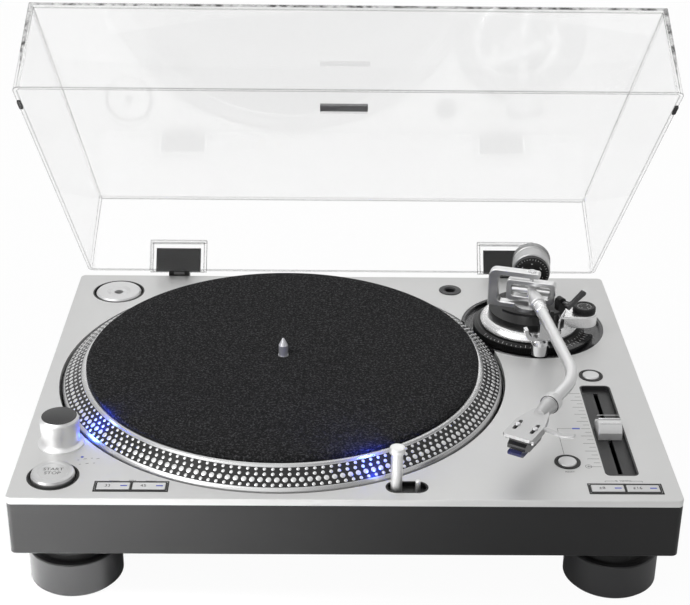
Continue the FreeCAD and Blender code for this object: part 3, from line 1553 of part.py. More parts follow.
def round_buttons():
    """The two small round buttons and their bright bezels."""
    bezel = Piece("round_bezels", 0, 0, 0)
    flat = bezel.sketch(lift=-7)
    lip = bezel.sketch()
    places = (("round_button_front", d.front_button_side, -d.front_button_front),
              ("round_button_rear", d.rear_button_side, -d.rear_button_front))
    bore = d.round_button_radius + d.fit_gap * 3
    for _, x, y in places:
        ring(flat, d.round_bezel_radius - d.fit_gap, bore, x, y)
        ring(lip, d.round_bezel_radius - d.fit_gap, bore, x, y)
    bezel.pad(flat, 7)
    bezel.pad(lip, 0.5)
    floors = bezel.sketch(lift=-8.2)
    for _, x, y in places:
        circle(floors, d.round_bezel_radius - d.fit_gap, x, y)
    bezel.pad(floors, 1.2)
    for name, x, y in places:
        button = Piece(name, x, y, 0)
        r = d.round_button_radius
        button.revolve(outline(button.sketch("XZ"), [
            (0, -4.8), (r, -4.8), (r, 0.3), (r - 0.3, 0.95), (r - 1, 1.2), (0, 1.2),
        ]))


def slider_bed():
    """The sunken bed of the pitch slider."""
    bed = Piece("slider_bed", d.bed_side, -d.bed_front, 0)
    gap, deep = d.fit_gap, d.bed_level + 2
    bed.pad(slab(bed.sketch(lift=-deep), d.bed_wide - gap * 2, d.bed_long - gap * 2,
                 d.bed_corner - gap), deep)
    bed.pocket(slab(bed.sketch(), d.bed_wide - 2.4, d.bed_long - 2.4, d.bed_corner - 1.2),
               d.bed_level)
    bed.pocket(slab(bed.sketch(lift=-d.bed_level), d.bed_slot_wide, d.bed_slot_long), 2)


def pitch_slider():
    """The slider's cap: a ledge and a ridge, on a stem through the slot."""
    cap = Piece("pitch_slider", d.bed_side, -d.bed_front - d.slider_rest, 0)
    ledge, r, top = d.slider_ledge, d.slider_radius, d.slider_level
    low = -d.bed_level + d.move_gap
    front = -r - ledge / 2
    side = outline(cap.sketch("YZ"), [
        (front, low), (front + r * 2 + ledge, low), (front + r * 2 + ledge, 3.4),
        (front + r * 2 + ledge - 0.6, 4), (front + r * 2 + 0.2, 4),
        ("arc", (front + r + 0.4, top), (front + 0.6, 4.2)), (front, 2.6),
    ])
    cap.pad(side, d.slider_wide, middle=True)
    cap.chamfer(0.5, lambda edge: (
        edge.BoundBox.XLength < 1e-4 and edge.BoundBox.ZMin > low.value + 0.1
        and abs(abs(edge.BoundBox.XMin) - d.slider_wide.value / 2) < 1e-3
    ))
    stem = slab(cap.sketch(lift=low), d.bed_slot_wide - d.run_gap * 4, 8)
    cap.pad(stem, 8, back=True)


def target_lamp():
    """The lamp that lights the stylus: a post with a hooded head, shown raised."""
    lamp = Piece("target_lamp", d.lamp_side, -d.lamp_front, 0)
    r, cap, top, tall = d.lamp_radius, d.lamp_cap_radius, d.lamp_level, d.lamp_cap_height
    lamp.revolve(outline(lamp.sketch("XZ"), [
        (0, -12), (r, -12), (r, top - tall), (cap - 0.4, top - tall), (cap, top - tall + 0.4),
        (cap, top - 1.6), (cap - 0.55, top - 0.45), (cap - 1.8, top), (0, top),
    ]))
    window = slab(lamp.sketch("XZ", lift=-r - 1), 3.4, 4.6, 0.5, 0, top - tall - 3.6)
    lamp.pocket(window, 2.4, back=True)


def lamp_release_pin():
    """The small pin that lets the lamp rise."""
    pin = Piece("lamp_release_pin", d.lamp_side + d.lamp_pitch, -d.lamp_front, 0)
    r, top = d.pin_radius, d.pin_level
    pin.revolve(outline(pin.sketch("XZ"), [
        (0, -8), (r, -8), (r, top - 0.9), (r - 0.3, top - 0.3), (r - 1, top), (0, top),
    ]))


def adaptor_45():
    """The loose centre adaptor for large-hole records, in its cup."""
    disc = Piece("adaptor_45", -d.adaptor_side, d.adaptor_back, -6.6)
    r, bore, tall = d.adaptor_radius, d.spindle_radius + 0.15, d.adaptor_level + 6.6
    disc.revolve(outline(disc.sketch("XZ"), [
        (bore, 0), (r, 0), (r, tall - 1.2), (r - 1.2, tall), (bore + 6, tall),
        (bore + 3.2, tall - 1.4), (bore, tall - 1.4),
    ]))


def headshell_socket():
    """The round socket that stores a spare headshell."""
    socket = Piece("headshell_socket", d.socket_side, d.socket_back, 0)
    r, bore, deep = d.socket_radius - d.fit_gap, d.socket_bore, d.socket_depth
    socket.revolve(outline(socket.sketch("XZ"), [
        (0, -deep - 1.5), (r, -deep - 1.5), (r, 0.4), (r - 0.4, 0.8), (bore + 1, 0.8),
        (bore, -0.2), (bore, -deep), (0, -deep),
    ]))


def terminal_panel():
    """The black panel in the back wall, with its power inlet."""
    mid = -(d.plate_edge + d.base_height / 2)
    panel = Piece("terminal_panel", -d.panel_side, d.plinth_depth / 2, mid)
    gap = d.fit_gap
    panel.pad(slab(panel.sketch("XZ", lift=1), d.panel_wide - gap * 2, d.panel_tall - gap * 2,
                   1.9), d.panel_sheet)
    box = slab(panel.sketch("XZ", lift=1 + d.panel_sheet), 21, 12.8, 2, inlet_place(), 0)
    panel.pad(box, 16)
    mouth = slab(panel.sketch("XZ", lift=1), 17, 10, 3, inlet_place(), 0)
    panel.pocket(mouth, 15, back=True)
    blades = panel.sketch("XZ", lift=16)
    for x in (-4.3, 4.3):
        circle(blades, 1.2, inlet_place() + x, 0)
    panel.pad(blades, 10, back=True)
    holes = panel.sketch("XZ", lift=1)
    for x, _ in jack_places():
        circle(holes, d.jack_radius - 0.6, x, 0)
    panel.pocket(holes, d.panel_sheet, back=True)


def inlet_place():
    """Returns the inlet's place across the panel, from its middle."""
    return d.panel_wide / 2 - 20


def jack_places():
    """Returns the places of the two signal jacks across the panel."""
    left = -d.panel_wide / 2
    return (left + 13, "left"), (left + 31, "right")


def signal_jacks():
    """The two signal jacks and the earth post."""
    mid = -(d.plate_edge + d.base_height / 2)
    jack = Piece("signal_jacks", -d.panel_side, d.plinth_depth / 2, mid)
    r, bore = d.jack_radius, size(1.7)
    base = jack.sketch("XZ", lift=1)
    sleeve = jack.sketch("XZ", lift=1)
    stems = jack.sketch("XZ", lift=1)
    for x, _ in jack_places():
        ring(base, 5.6, bore, x, 0)
        ring(sleeve, r, bore, x, 0)
        ring(stems, r - 0.6 - d.fit_gap, bore, x, 0)
    jack.pad(base, 0.9, back=True)
    jack.pad(sleeve, d.jack_reach, back=True)
    jack.pad(stems, d.panel_sheet + 2)
    ends = jack.sketch("XZ", lift=1 + d.panel_sheet)
    for x, _ in jack_places():
        circle(ends, r - 0.6 - d.fit_gap, x, 0)
    jack.pad(ends, 2)
    post_x = -d.panel_wide / 2 + 48
    jack.pad(circle(jack.sketch("XZ", lift=1), 1.6, post_x, 0), 7, back=True)
    jack.pad(circle(jack.sketch("XZ", lift=1), 3.6, post_x, 0), 2, back=True)
    jack.pad(circle(jack.sketch("XZ", lift=-3), 3.2, post_x, 0), 3, back=True)


def electronics():
    """The circuit board on its pillars and the power transformer."""
    inside = Piece("electronics", 0, 0, floor_level)
    board = slab(inside.sketch(lift=8), 92, 88, 2, BOARD_X, BOARD_Y)
    inside.pad(board, 1.6)
    inside.pad(slab(inside.sketch(lift=9), 14, 14, 0, BOARD_X - 20, BOARD_Y + 10), 3)
    inside.pad(slab(inside.sketch(lift=9), 20, 10, 0, BOARD_X + 10, BOARD_Y - 20), 3.4)
    core = slab(inside.sketch(), 46, 56, 1, -136, 118)
    inside.pad(core, 16)
    coil = slab(inside.sketch(lift=2), 60, 30, 6, -136, 118)
    inside.pad(coil, 12)


def build_all():
    """Makes every sub-part."""
    for make in (
        base_housing, top_plate, platter_well, bearing_sleeve, motor_stator, platter,
        rotor_magnet, slipmat, spindle, arm_dish, height_ring, arm_platform,
        anti_skate_knob, gimbal_drum, gimbal_yoke, gimbal_frame, arm_pivot, arm_tube,
        weight_dial, counterweight, locking_collar, headshell, cartridge, stylus, lift_bar,
        cue_lever, lever_bearing, lever_stay, arm_rest, arm_lock, dust_cover, hinge_leaves,
        hinge_blocks, cover_bumpers, foot_cups, foot_isolators, strobe_tower, strobe_lens,
        power_knob, control_cups, start_button, keys, round_buttons, slider_bed,
        pitch_slider, target_lamp, lamp_release_pin, adaptor_45, headshell_socket,
        terminal_panel, signal_jacks, electronics,
    ):
        make()


def write_parts():
    """Checks every object and writes each sub-part's solid."""
    doc.recompute()
    for item in doc.Objects:
        if "Invalid" in item.State or "Error" in item.State:
            raise ValueError(f"{item.Label}: {item.State}")
    os.makedirs("parts", exist_ok=True)
    for piece in PIECES:
        if piece.Shape.isNull() or not piece.Shape.isValid():
            raise ValueError(f"{piece.Label} has no valid shape")
        piece.Shape.exportStep(os.path.join("parts", piece.Label + ".step"))
        print(f"{piece.Label}: {len(piece.Shape.Solids)} solid, {piece.Shape.Volume:.0f} mm3")


build_all()
write_parts()
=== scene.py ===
"""Looks of a direct-drive record turntable that stands with its clear cover open.

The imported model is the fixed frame. This script gives its pieces their finishes and adds what
is printed, knurled, screwed or laid on them. Metres, +Z up, front towards -Y. Sizes and places
in millimetres are the deck's own, from the middle of the plinth and the upper face of its plate.
"""
import json
import logging
import math
import random
from collections.abc import Iterable
from dataclasses import dataclass
from enum import Enum

import bmesh
import bpy
from mathutils import Matrix, Vector


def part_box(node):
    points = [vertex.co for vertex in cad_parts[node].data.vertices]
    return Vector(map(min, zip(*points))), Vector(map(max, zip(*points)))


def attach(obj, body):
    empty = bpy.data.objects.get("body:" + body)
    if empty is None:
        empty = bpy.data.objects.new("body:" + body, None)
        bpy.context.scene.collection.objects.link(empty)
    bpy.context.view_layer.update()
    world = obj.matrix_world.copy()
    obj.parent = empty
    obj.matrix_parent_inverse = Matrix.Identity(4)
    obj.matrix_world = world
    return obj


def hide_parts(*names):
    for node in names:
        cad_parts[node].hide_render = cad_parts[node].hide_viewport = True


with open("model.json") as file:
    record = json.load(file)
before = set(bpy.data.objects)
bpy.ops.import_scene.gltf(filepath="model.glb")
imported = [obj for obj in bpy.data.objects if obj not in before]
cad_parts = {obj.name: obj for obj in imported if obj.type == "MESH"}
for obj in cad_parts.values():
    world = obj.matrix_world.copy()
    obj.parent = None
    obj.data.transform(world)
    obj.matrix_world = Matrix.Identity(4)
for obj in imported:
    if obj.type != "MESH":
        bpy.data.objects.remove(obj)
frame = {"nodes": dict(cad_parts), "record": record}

Colour = tuple[float, float, float]
Place = tuple[float, float, float]
Socket = bpy.types.NodeSocket
Ring = list[bmesh.types.BMVert]

log = logging.getLogger("deck")
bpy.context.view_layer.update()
MM = 0.001
UP = Vector((0, 0, 1))
RIGHT = Vector((1, 0, 0))
BACK = Vector((0, 1, 0))
WHITE = (1.0, 1.0, 1.0)
PRINT = 0.03        # how far a print stands up, in millimetres
LINE = 0.3          # how wide a printed line is, in millimetres
COVER_HINGE = (176.5, 7.8)      # how far behind and above the deck's middle the cover turns
COVER_TOP = 59.7    # from the cover's hinge to the outer face of its top panel
ARM_TURN = (150.8, 80.3)        # where the arm's upright axis stands
ARM_LEVEL = 32.8    # how high above the plate the arm's two axes cross


# ---------------------------------------------------------------- places

@dataclass(frozen=True)
class Deck:
    """Turns places on the deck, in millimetres, into the scene's metres."""

    top: float
    back: float

    @classmethod
    def from_plate(cls) -> "Deck":
        """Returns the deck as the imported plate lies."""
        low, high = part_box("top_plate")
        return cls(high[2], (low[1] + high[1]) / 2)

    def at(self, x: float, y: float, z: float = 0.0) -> Vector:
        """Returns a place by millimetres to the right, to the back and above the plate."""
        return Vector((x * MM, y * MM + self.back, z * MM + self.top))

    def around(self, middle: Place, radius: float, angle: float) -> Vector:
        """Returns the place at an angle, in degrees, on a level circle."""
        a = math.radians(angle)
        return self.at(middle[0] + radius * math.cos(a), middle[1] + radius * math.sin(a),
                       middle[2])


@dataclass(frozen=True)
class Axes:
    """A place with two directions, across and up the face that a small piece is built on."""

    place: Vector
    right: Vector
    up: Vector

    @classmethod
    def flat(cls, place: Vector, turn: float = 0.0) -> "Axes":
        """Returns axes of a level face, turned by degrees about the upright."""
        a = math.radians(turn)
        return cls(place, Vector((math.cos(a), math.sin(a), 0)),
                   Vector((-math.sin(a), math.cos(a), 0)))

    @classmethod
    def facing(cls, place: Vector, out: Vector) -> "Axes":
        """Returns axes of an upright face that looks in a level direction."""
        return cls(place, UP.cross(out), UP)

    def moved(self, x: float = 0.0, y: float = 0.0, z: float = 0.0) -> "Axes":
        """Returns these axes, moved by millimetres along the face and out of it."""
        out = self.right.cross(self.up)
        return Axes(self.place + (self.right * x + self.up * y + out * z) * MM, self.right,
                    self.up)

    def matrix(self) -> Matrix:
        """Returns the matrix that places a piece built in these axes."""
        out = self.right.cross(self.up).normalized()
        return posed(self.place, self.right, self.up, out)


def posed(place: Vector, right: Vector, up: Vector, out: Vector) -> Matrix:
    """Returns the matrix of a place and three directions.

    Args:
        place: Where the origin goes, in metres.
        right: Where the first direction points.
        up: Where the second direction points.
        out: Where the third direction points.

    Returns:
        The matrix, of four rows.
    """
    matrix = Matrix.Identity(4)
    for column, part in enumerate((right, up, out, place)):
        for row in range(3):
            matrix[row][column] = part[row]
    return matrix


def opening(joint: str) -> float:
    """Returns how many degrees a joint's range goes below its rest."""
    rows = frame["record"]["behaviour"]["joints"]
    return -next(row["range_deg"][0] for row in rows if row["name"] == joint)


DECK = Deck.from_plate()


# ---------------------------------------------------------------- shader wiring

@dataclass(frozen=True)
class Wiring:
    """A node tree, with short calls for the nodes that the materials are made of."""

    tree: bpy.types.NodeTree

    @classmethod
    def group(cls, name: str, inputs: dict[str, float], *outputs: str
              ) -> tuple["Wiring", bpy.types.Node, bpy.types.Node]:
        """Starts a node group.

        Args:
            name: The group's name.
            inputs: The group's inputs with their first values.
            *outputs: The names of its outputs.

        Returns:
            The group's wiring, its input node and its output node.
        """
        tree = bpy.data.node_groups.new(name, "ShaderNodeTree")
        for socket, value in inputs.items():
            made = tree.interface.new_socket(socket, in_out="INPUT", socket_type="NodeSocketFloat")
            made.default_value = value
        for socket in outputs:
            tree.interface.new_socket(socket, in_out="OUTPUT", socket_type="NodeSocketFloat")
        return cls(tree), tree.nodes.new("NodeGroupInput"), tree.nodes.new("NodeGroupOutput")

    def add(self, kind: str) -> bpy.types.Node:
        """Returns a new node of a kind."""
        return self.tree.nodes.new(kind)

    def feed(self, target: Socket, value: Socket | float | Colour) -> None:
        """Feeds a socket.

        Args:
            target: The socket to feed.
            value: A socket to link it to, or a number or a colour to set it to.
        """
        if isinstance(value, bpy.types.NodeSocket):
            self.tree.links.new(value, target)
        else:
            target.default_value = (*value, 1) if isinstance(value, tuple) else value

    def coords(self, kind: str = "Object") -> Socket:
        """Returns the texture coordinates of a kind."""
        return self.add("ShaderNodeTexCoord").outputs[kind]

    def normal(self) -> Socket:
        """Returns the surface's normal."""
        return self.add("ShaderNodeNewGeometry").outputs["Normal"]

    def parts(self, vector: Socket) -> bpy.types.bpy_prop_collection:
        """Splits a vector.

        Args:
            vector: The vector.

        Returns:
            The outputs, named X, Y and Z.
        """
        node = self.add("ShaderNodeSeparateXYZ")
        self.feed(node.inputs[0], vector)
        return node.outputs

    def vector(self, *parts: Socket | float) -> Socket:
        """Joins a vector.

        Args:
            *parts: Its three parts, each a socket or a number.

        Returns:
            The vector.
        """
        node = self.add("ShaderNodeCombineXYZ")
        for target, value in zip(node.inputs, parts):
            self.feed(target, value)
        return node.outputs[0]

    def vectors(self, kind: str, first: Socket, second: Socket) -> Socket:
        """Works out two vectors.

        Args:
            kind: The operation.
            first: The first vector.
            second: The second vector.

        Returns:
            The result, which is a number for a dot product.
        """
        node = self.add("ShaderNodeVectorMath")
        node.operation = kind
        self.feed(node.inputs[0], first)
        self.feed(node.inputs[1], second)
        return node.outputs["Value" if kind == "DOT_PRODUCT" else "Vector"]

    def math(self, kind: str, *values: Socket | float) -> Socket:
        """Works out sockets or numbers.

        Args:
            kind: The operation.
            *values: What it works on.

        Returns:
            The result.
        """
        node = self.add("ShaderNodeMath")
        node.operation = kind
        for target, value in zip(node.inputs, values):
            self.feed(target, value)
        return node.outputs[0]

    def noise(self, scale: Socket | float, detail: float, vector: Socket | None = None,
              rough: float = 0.55) -> Socket:
        """Adds a noise.

        Args:
            scale: How many of its cells go to a metre.
            detail: How many finer layers it has.
            vector: What it lies on. None is the object's own coordinates.
            rough: How strong the finer layers are.

        Returns:
            Its value.
        """
        node = self.add("ShaderNodeTexNoise")
        self.feed(node.inputs["Vector"], vector or self.coords())
        self.feed(node.inputs["Scale"], scale)
        self.feed(node.inputs["Detail"], detail)
        self.feed(node.inputs["Roughness"], rough)
        return node.outputs["Fac"]

    def ranged(self, value: Socket, source: tuple[float, float] = (0.0, 1.0),
               target: tuple[float, float] = (0.0, 1.0)) -> Socket:
        """Maps a value from one range to another.

        Args:
            value: The value.
            source: The ends of the range that it comes from.
            target: The ends of the range that it goes to, which also limit it.

        Returns:
            The mapped value.
        """
        node = self.add("ShaderNodeMapRange")
        self.feed(node.inputs["Value"], value)
        for name, number in zip(("From Min", "From Max", "To Min", "To Max"), source + target):
            self.feed(node.inputs[name], number)
        return node.outputs[0]

    def mix(self, mask: Socket, first: Socket | Colour, second: Socket | Colour) -> Socket:
        """Mixes two colours.

        Args:
            mask: How much of the second one there is.
            first: The first colour.
            second: The second colour.

        Returns:
            The mixed colour.
        """
        node = self.add("ShaderNodeMix")
        node.data_type = "RGBA"
        self.feed(node.inputs["Factor"], mask)
        colours = [socket for socket in node.inputs if socket.type == "RGBA"]
        self.feed(colours[0], first)
        self.feed(colours[1], second)
        return next(socket for socket in node.outputs if socket.type == "RGBA")

    def rays(self, *kinds: str) -> Socket:
        """Adds a mask that is 1 for some kinds of ray.

        Args:
            *kinds: The kinds, as the Light Path node names them.

        Returns:
            The mask.
        """
        path = self.add("ShaderNodeLightPath")
        mask = path.outputs[kinds[0]]
        for kind in kinds[1:]:
            mask = self.math("MAXIMUM", mask, path.outputs[kind])
        return mask

    def near_edge(self, radius: float, full: float) -> Socket:
        """Adds a mask of what lies near a sharp edge.

        Args:
            radius: How near, in metres.
            full: The cosine of the turn of the normal at which the mask is full.

        Returns:
            The mask.
        """
        start = 0.995
        bevel = self.add("ShaderNodeBevel")
        bevel.samples = 3
        self.feed(bevel.inputs["Radius"], radius)
        turn = self.vectors("DOT_PRODUCT", bevel.outputs[0], self.normal())
        return self.ranged(turn, (start, full))


# ---------------------------------------------------------------- shared effects

class Effect(Enum):
    """The shader node groups that the finishes share."""

    GRAIN = "fine_grain"
    BRUSHED = "brushed_lines"
    WEAR = "edge_wear"
    FELT = "felt_fibres"
    DUST = "settled_dust"
    RING = "painted_ring"
    # painted dark shade on the cover's edges and on the sheet ends of its front wall
    EDGE = "painted_edge_shade"


class Effects:
    """Builds the shared node groups once and places them in materials."""

    def __init__(self) -> None:
        """Makes every group."""
        makers = {
            Effect.GRAIN: self._grain, Effect.BRUSHED: self._brushed, Effect.WEAR: self._wear,
            Effect.FELT: self._felt, Effect.DUST: self._dust, Effect.RING: self._ring,
            Effect.EDGE: self._edge,
        }
        self.groups = {effect: make() for effect, make in makers.items()}

    def place(self, wiring: Wiring, effect: Effect, **values: float
              ) -> bpy.types.bpy_prop_collection:
        """Places a group in a material.

        Args:
            wiring: The material's wiring.
            effect: The effect to place.
            **values: The group's inputs by name, in small letters.

        Returns:
            The group's outputs.
        """
        node = wiring.add("ShaderNodeGroup")
        node.node_tree = self.groups[effect]
        for name, value in values.items():
            wiring.feed(node.inputs[name.capitalize()], value)
        return node.outputs

    @staticmethod
    def _grain() -> bpy.types.NodeTree:
        """Makes a fine even grain with a slow cloudiness over it.

        Returns:
            The group.
        """
        w, start, end = Wiring.group(Effect.GRAIN.value, {"Size": 900.0}, "Height", "Cloud")
        w.feed(end.inputs["Height"], w.noise(start.outputs["Size"], 3.0))
        w.feed(end.inputs["Cloud"], w.noise(14.0, 2.0))
        return w.tree

    @staticmethod
    def _brushed() -> bpy.types.NodeTree:
        """Makes fine lines drawn out along X, as a brushed sheet has.

        Returns:
            The group.
        """
        w, start, end = Wiring.group(
            Effect.BRUSHED.value, {"Size": 2600.0, "Stretch": 0.012}, "Height", "Streak")
        drawn = w.vectors("MULTIPLY", w.coords(), w.vector(start.outputs["Stretch"], 1.0, 1.0))
        w.feed(end.inputs["Height"], w.noise(start.outputs["Size"], 2.0, drawn))
        w.feed(end.inputs["Streak"], w.noise(60.0, 2.0, drawn))
        return w.tree

    @staticmethod
    def _wear() -> bpy.types.NodeTree:
        """Makes a mask of the edges that hands and cloths rub bright.

        Returns:
            The group.
        """
        w, start, end = Wiring.group(Effect.WEAR.value, {"Amount": 0.5}, "Mask")
        broken = w.math("MULTIPLY", w.near_edge(0.0005, 0.88), w.noise(240.0, 4.0))
        w.feed(end.inputs["Mask"], w.math("MULTIPLY", broken, start.outputs["Amount"]))
        return w.tree

    @staticmethod
    def _felt() -> bpy.types.NodeTree:
        """Makes matted short fibres with pale specks.

        Returns:
            The group.
        """
        w, start, end = Wiring.group(
            Effect.FELT.value, {"Size": 1500.0}, "Height", "Speck", "Cloud")
        cells = w.add("ShaderNodeTexVoronoi")
        cells.feature = "F1"
        w.feed(cells.inputs["Vector"], w.coords())
        w.feed(cells.inputs["Scale"], start.outputs["Size"])
        fibres = w.math("MULTIPLY", cells.outputs["Distance"], 0.6)
        matted = w.noise(900.0, 5.0, rough=0.7)
        w.feed(end.inputs["Height"], w.math("ADD", fibres, matted))
        w.feed(end.inputs["Speck"], w.ranged(w.noise(620.0, 3.0, rough=0.85), (0.5, 0.64)))
        w.feed(end.inputs["Cloud"], w.noise(26.0, 3.0))
        return w.tree

    @staticmethod
    def _dust() -> bpy.types.NodeTree:
        """Makes a mask of a thin film on faces that look up.

        Returns:
            The group.
        """
        w, start, end = Wiring.group(Effect.DUST.value, {"Amount": 0.1}, "Mask")
        level = w.math("MAXIMUM", w.parts(w.normal())["Z"], 0.0)
        film = w.math("MULTIPLY", level, w.noise(420.0, 5.0, rough=0.7))
        w.feed(end.inputs["Mask"], w.math("MULTIPLY", film, start.outputs["Amount"]))
        return w.tree

    @staticmethod
    def _ring() -> bpy.types.NodeTree:
        """Makes a mask of the ring between two radii about the upright through X and Y.

        Returns:
            The group.
        """
        w, start, end = Wiring.group(
            Effect.RING.value, {"X": 0.0, "Y": 0.0, "Inner": 0.1, "Outer": 0.2}, "Mask")
        spot = w.parts(w.coords())
        offs = [w.math("SUBTRACT", spot[name], start.outputs[name]) for name in "XY"]
        reach = w.math("SQRT", w.math("ADD", *[w.math("MULTIPLY", off, off) for off in offs]))
        outside = w.math("GREATER_THAN", reach, start.outputs["Inner"])
        inside = w.math("LESS_THAN", reach, start.outputs["Outer"])
        w.feed(end.inputs["Mask"], w.math("MULTIPLY", outside, inside))
        return w.tree

    @staticmethod
    def _edge() -> bpy.types.NodeTree:
        """Makes a mask of a clear cover's edges and of the sheet ends at its front wall, which get
        a painted dark shade.

        Ahead and Above are the Y and Z shares of the cover's own forward direction. What lies
        further that way than Fore is the front wall. Its ends are above Top, or outside Side,
        which the walls' Draft lets come nearer with the height.

        Returns:
            The group.
        """
        w, start, end = Wiring.group(
            Effect.EDGE.value, {"Ahead": -1.0, "Above": 0.0, "Fore": 0.0, "Top": 1.0,
                                "Side": 1.0, "Draft": 0.0}, "Mask")
        given, spot = start.outputs, w.coords()
        ahead = w.vector(0.0, given["Ahead"], given["Above"])
        upward = w.vector(0.0, given["Above"], w.math("MULTIPLY", given["Ahead"], -1.0))
        facing = w.vectors("DOT_PRODUCT", w.coords("Normal"), ahead)
        fore = w.vectors("DOT_PRODUCT", spot, ahead)
        level = w.vectors("DOT_PRODUCT", spot, upward)
        wide = w.math("ADD", w.math("ABSOLUTE", w.parts(spot)["X"]),
                      w.math("MULTIPLY", level, given["Draft"]))
        ends = w.math("MAXIMUM", w.math("GREATER_THAN", level, given["Top"]),
                      w.math("GREATER_THAN", wide, given["Side"]))
        wall = w.math("MULTIPLY", w.math("GREATER_THAN", fore, given["Fore"]),
                      w.math("GREATER_THAN", facing, 0.9))
        broken = w.ranged(w.noise(160.0, 4.0, rough=0.7), (0.3, 0.6), (0.35, 1.0))
        rim = w.math("MULTIPLY", w.math("MULTIPLY", wall, ends), broken)
        w.feed(end.inputs["Mask"], w.math("MAXIMUM", rim, w.near_edge(0.0012, 0.98)))
        return w.tree


EFFECTS = Effects()


# ---------------------------------------------------------------- finishes

class Relief(Enum):
    """The fine relief of a finish: its effect, and the output that changes slowly."""

    GRAIN = (Effect.GRAIN, "Cloud")
    BRUSHED = (Effect.BRUSHED, "Streak")
    FELT = (Effect.FELT, "Cloud")


@dataclass(frozen=True)
class Coating:
    """A material that is made once, under its name."""

    name: str

    def material(self) -> bpy.types.Material:
        """Gives the material, made the first time it is asked for.

        Returns:
            The material.
        """
        made = bpy.data.materials.get(self.name)
        if not made:
            made = bpy.data.materials.new(self.name)
            made.use_nodes = True
            self.wire(Wiring(made.node_tree), made.node_tree.nodes["Principled BSDF"].inputs)
        return made

    def wire(self, w: Wiring, shader: bpy.types.bpy_prop_collection) -> None:
        """Wires the material up, as each kind of coating does it."""
        raise NotImplementedError


@dataclass(frozen=True)
class Finish(Coating):
    """A surface finish and the numbers of its material."""

    colour: Colour
    roughness: float
    metal: float = 0.0
    relief: Relief = Relief.GRAIN
    size: float = 900.0
    depth: float = 0.08
    cloud: float = 0.06
    wear: float = 0.0
    worn: Colour = (0.75, 0.75, 0.75)
    dust: float = 0.0
    coat: float = 0.0
    specular: float = 0.5
    sheen: float = 0.0
    glow: float = 0.0
    glow_colour: Colour = (0.05, 0.12, 1.0)
    ring: tuple[float, ...] = ()
    ring_colour: Colour = (0.010, 0.010, 0.010)
    dust_colour: Colour = (0.42, 0.41, 0.39)
    speck_gain: float = 6.0
    speck_lift: float = 0.03
    swing: float = 0.07
    bump: float = 0.0004

    def wire(self, w: Wiring, shader: bpy.types.bpy_prop_collection) -> None:
        """Wires the finish up.

        Args:
            w: The material's wiring.
            shader: The inputs of its shader.
        """
        for name, value in (
                ("Metallic", self.metal), ("Specular IOR Level", self.specular),
                ("Coat Weight", self.coat), ("Coat Roughness", 0.08),
                ("Sheen Weight", self.sheen), ("Sheen Roughness", 0.4)):
            w.feed(shader[name], value)
        if self.glow:
            w.feed(shader["Emission Color"], self.glow_colour)
            w.feed(shader["Emission Strength"], self.glow)
        effect, slow = self.relief.value
        relief = EFFECTS.place(w, effect, size=self.size)
        colour = self._colour(w, relief[slow], relief.get("Speck"))
        if self.ring:
            x, y, inner, outer = self.ring
            mask = EFFECTS.place(w, Effect.RING, x=x, y=y, inner=inner, outer=outer)["Mask"]
            colour = w.mix(mask, colour, self.ring_colour)
            w.feed(shader["Metallic"], w.math("SUBTRACT", self.metal, mask))
        w.feed(shader["Base Color"], colour)
        ends = (max(self.roughness - self.swing, 0.02), min(self.roughness + self.swing, 1.0))
        w.feed(shader["Roughness"], w.ranged(relief[slow], target=ends))
        bump = w.add("ShaderNodeBump")
        w.feed(bump.inputs["Strength"], self.depth)
        w.feed(bump.inputs["Distance"], self.bump)
        w.feed(bump.inputs["Height"], relief["Height"])
        w.feed(shader["Normal"], bump.outputs[0])

    def _colour(self, w: Wiring, change: Socket, speck: Socket | None) -> Socket:
        """Mixes the colour with its cloudiness, specks, wear and dust.

        Args:
            w: The material's wiring.
            change: What the cloudiness follows.
            speck: A mask of pale specks, if there are any.

        Returns:
            The mixed colour.
        """
        dark = tuple(c * (1 - self.cloud) for c in self.colour)
        light = tuple(min(c * (1 + self.cloud), 1.0) for c in self.colour)
        out = w.mix(change, dark, light)
        if speck is not None:
            pale = tuple(min(c * self.speck_gain + self.speck_lift, 1) for c in self.colour)
            out = w.mix(speck, out, pale)
        for effect, amount, colour in ((Effect.WEAR, self.wear, self.worn),
                                       (Effect.DUST, self.dust, self.dust_colour)):
            if amount:
                out = w.mix(EFFECTS.place(w, effect, amount=amount)["Mask"], out, colour)
        return out


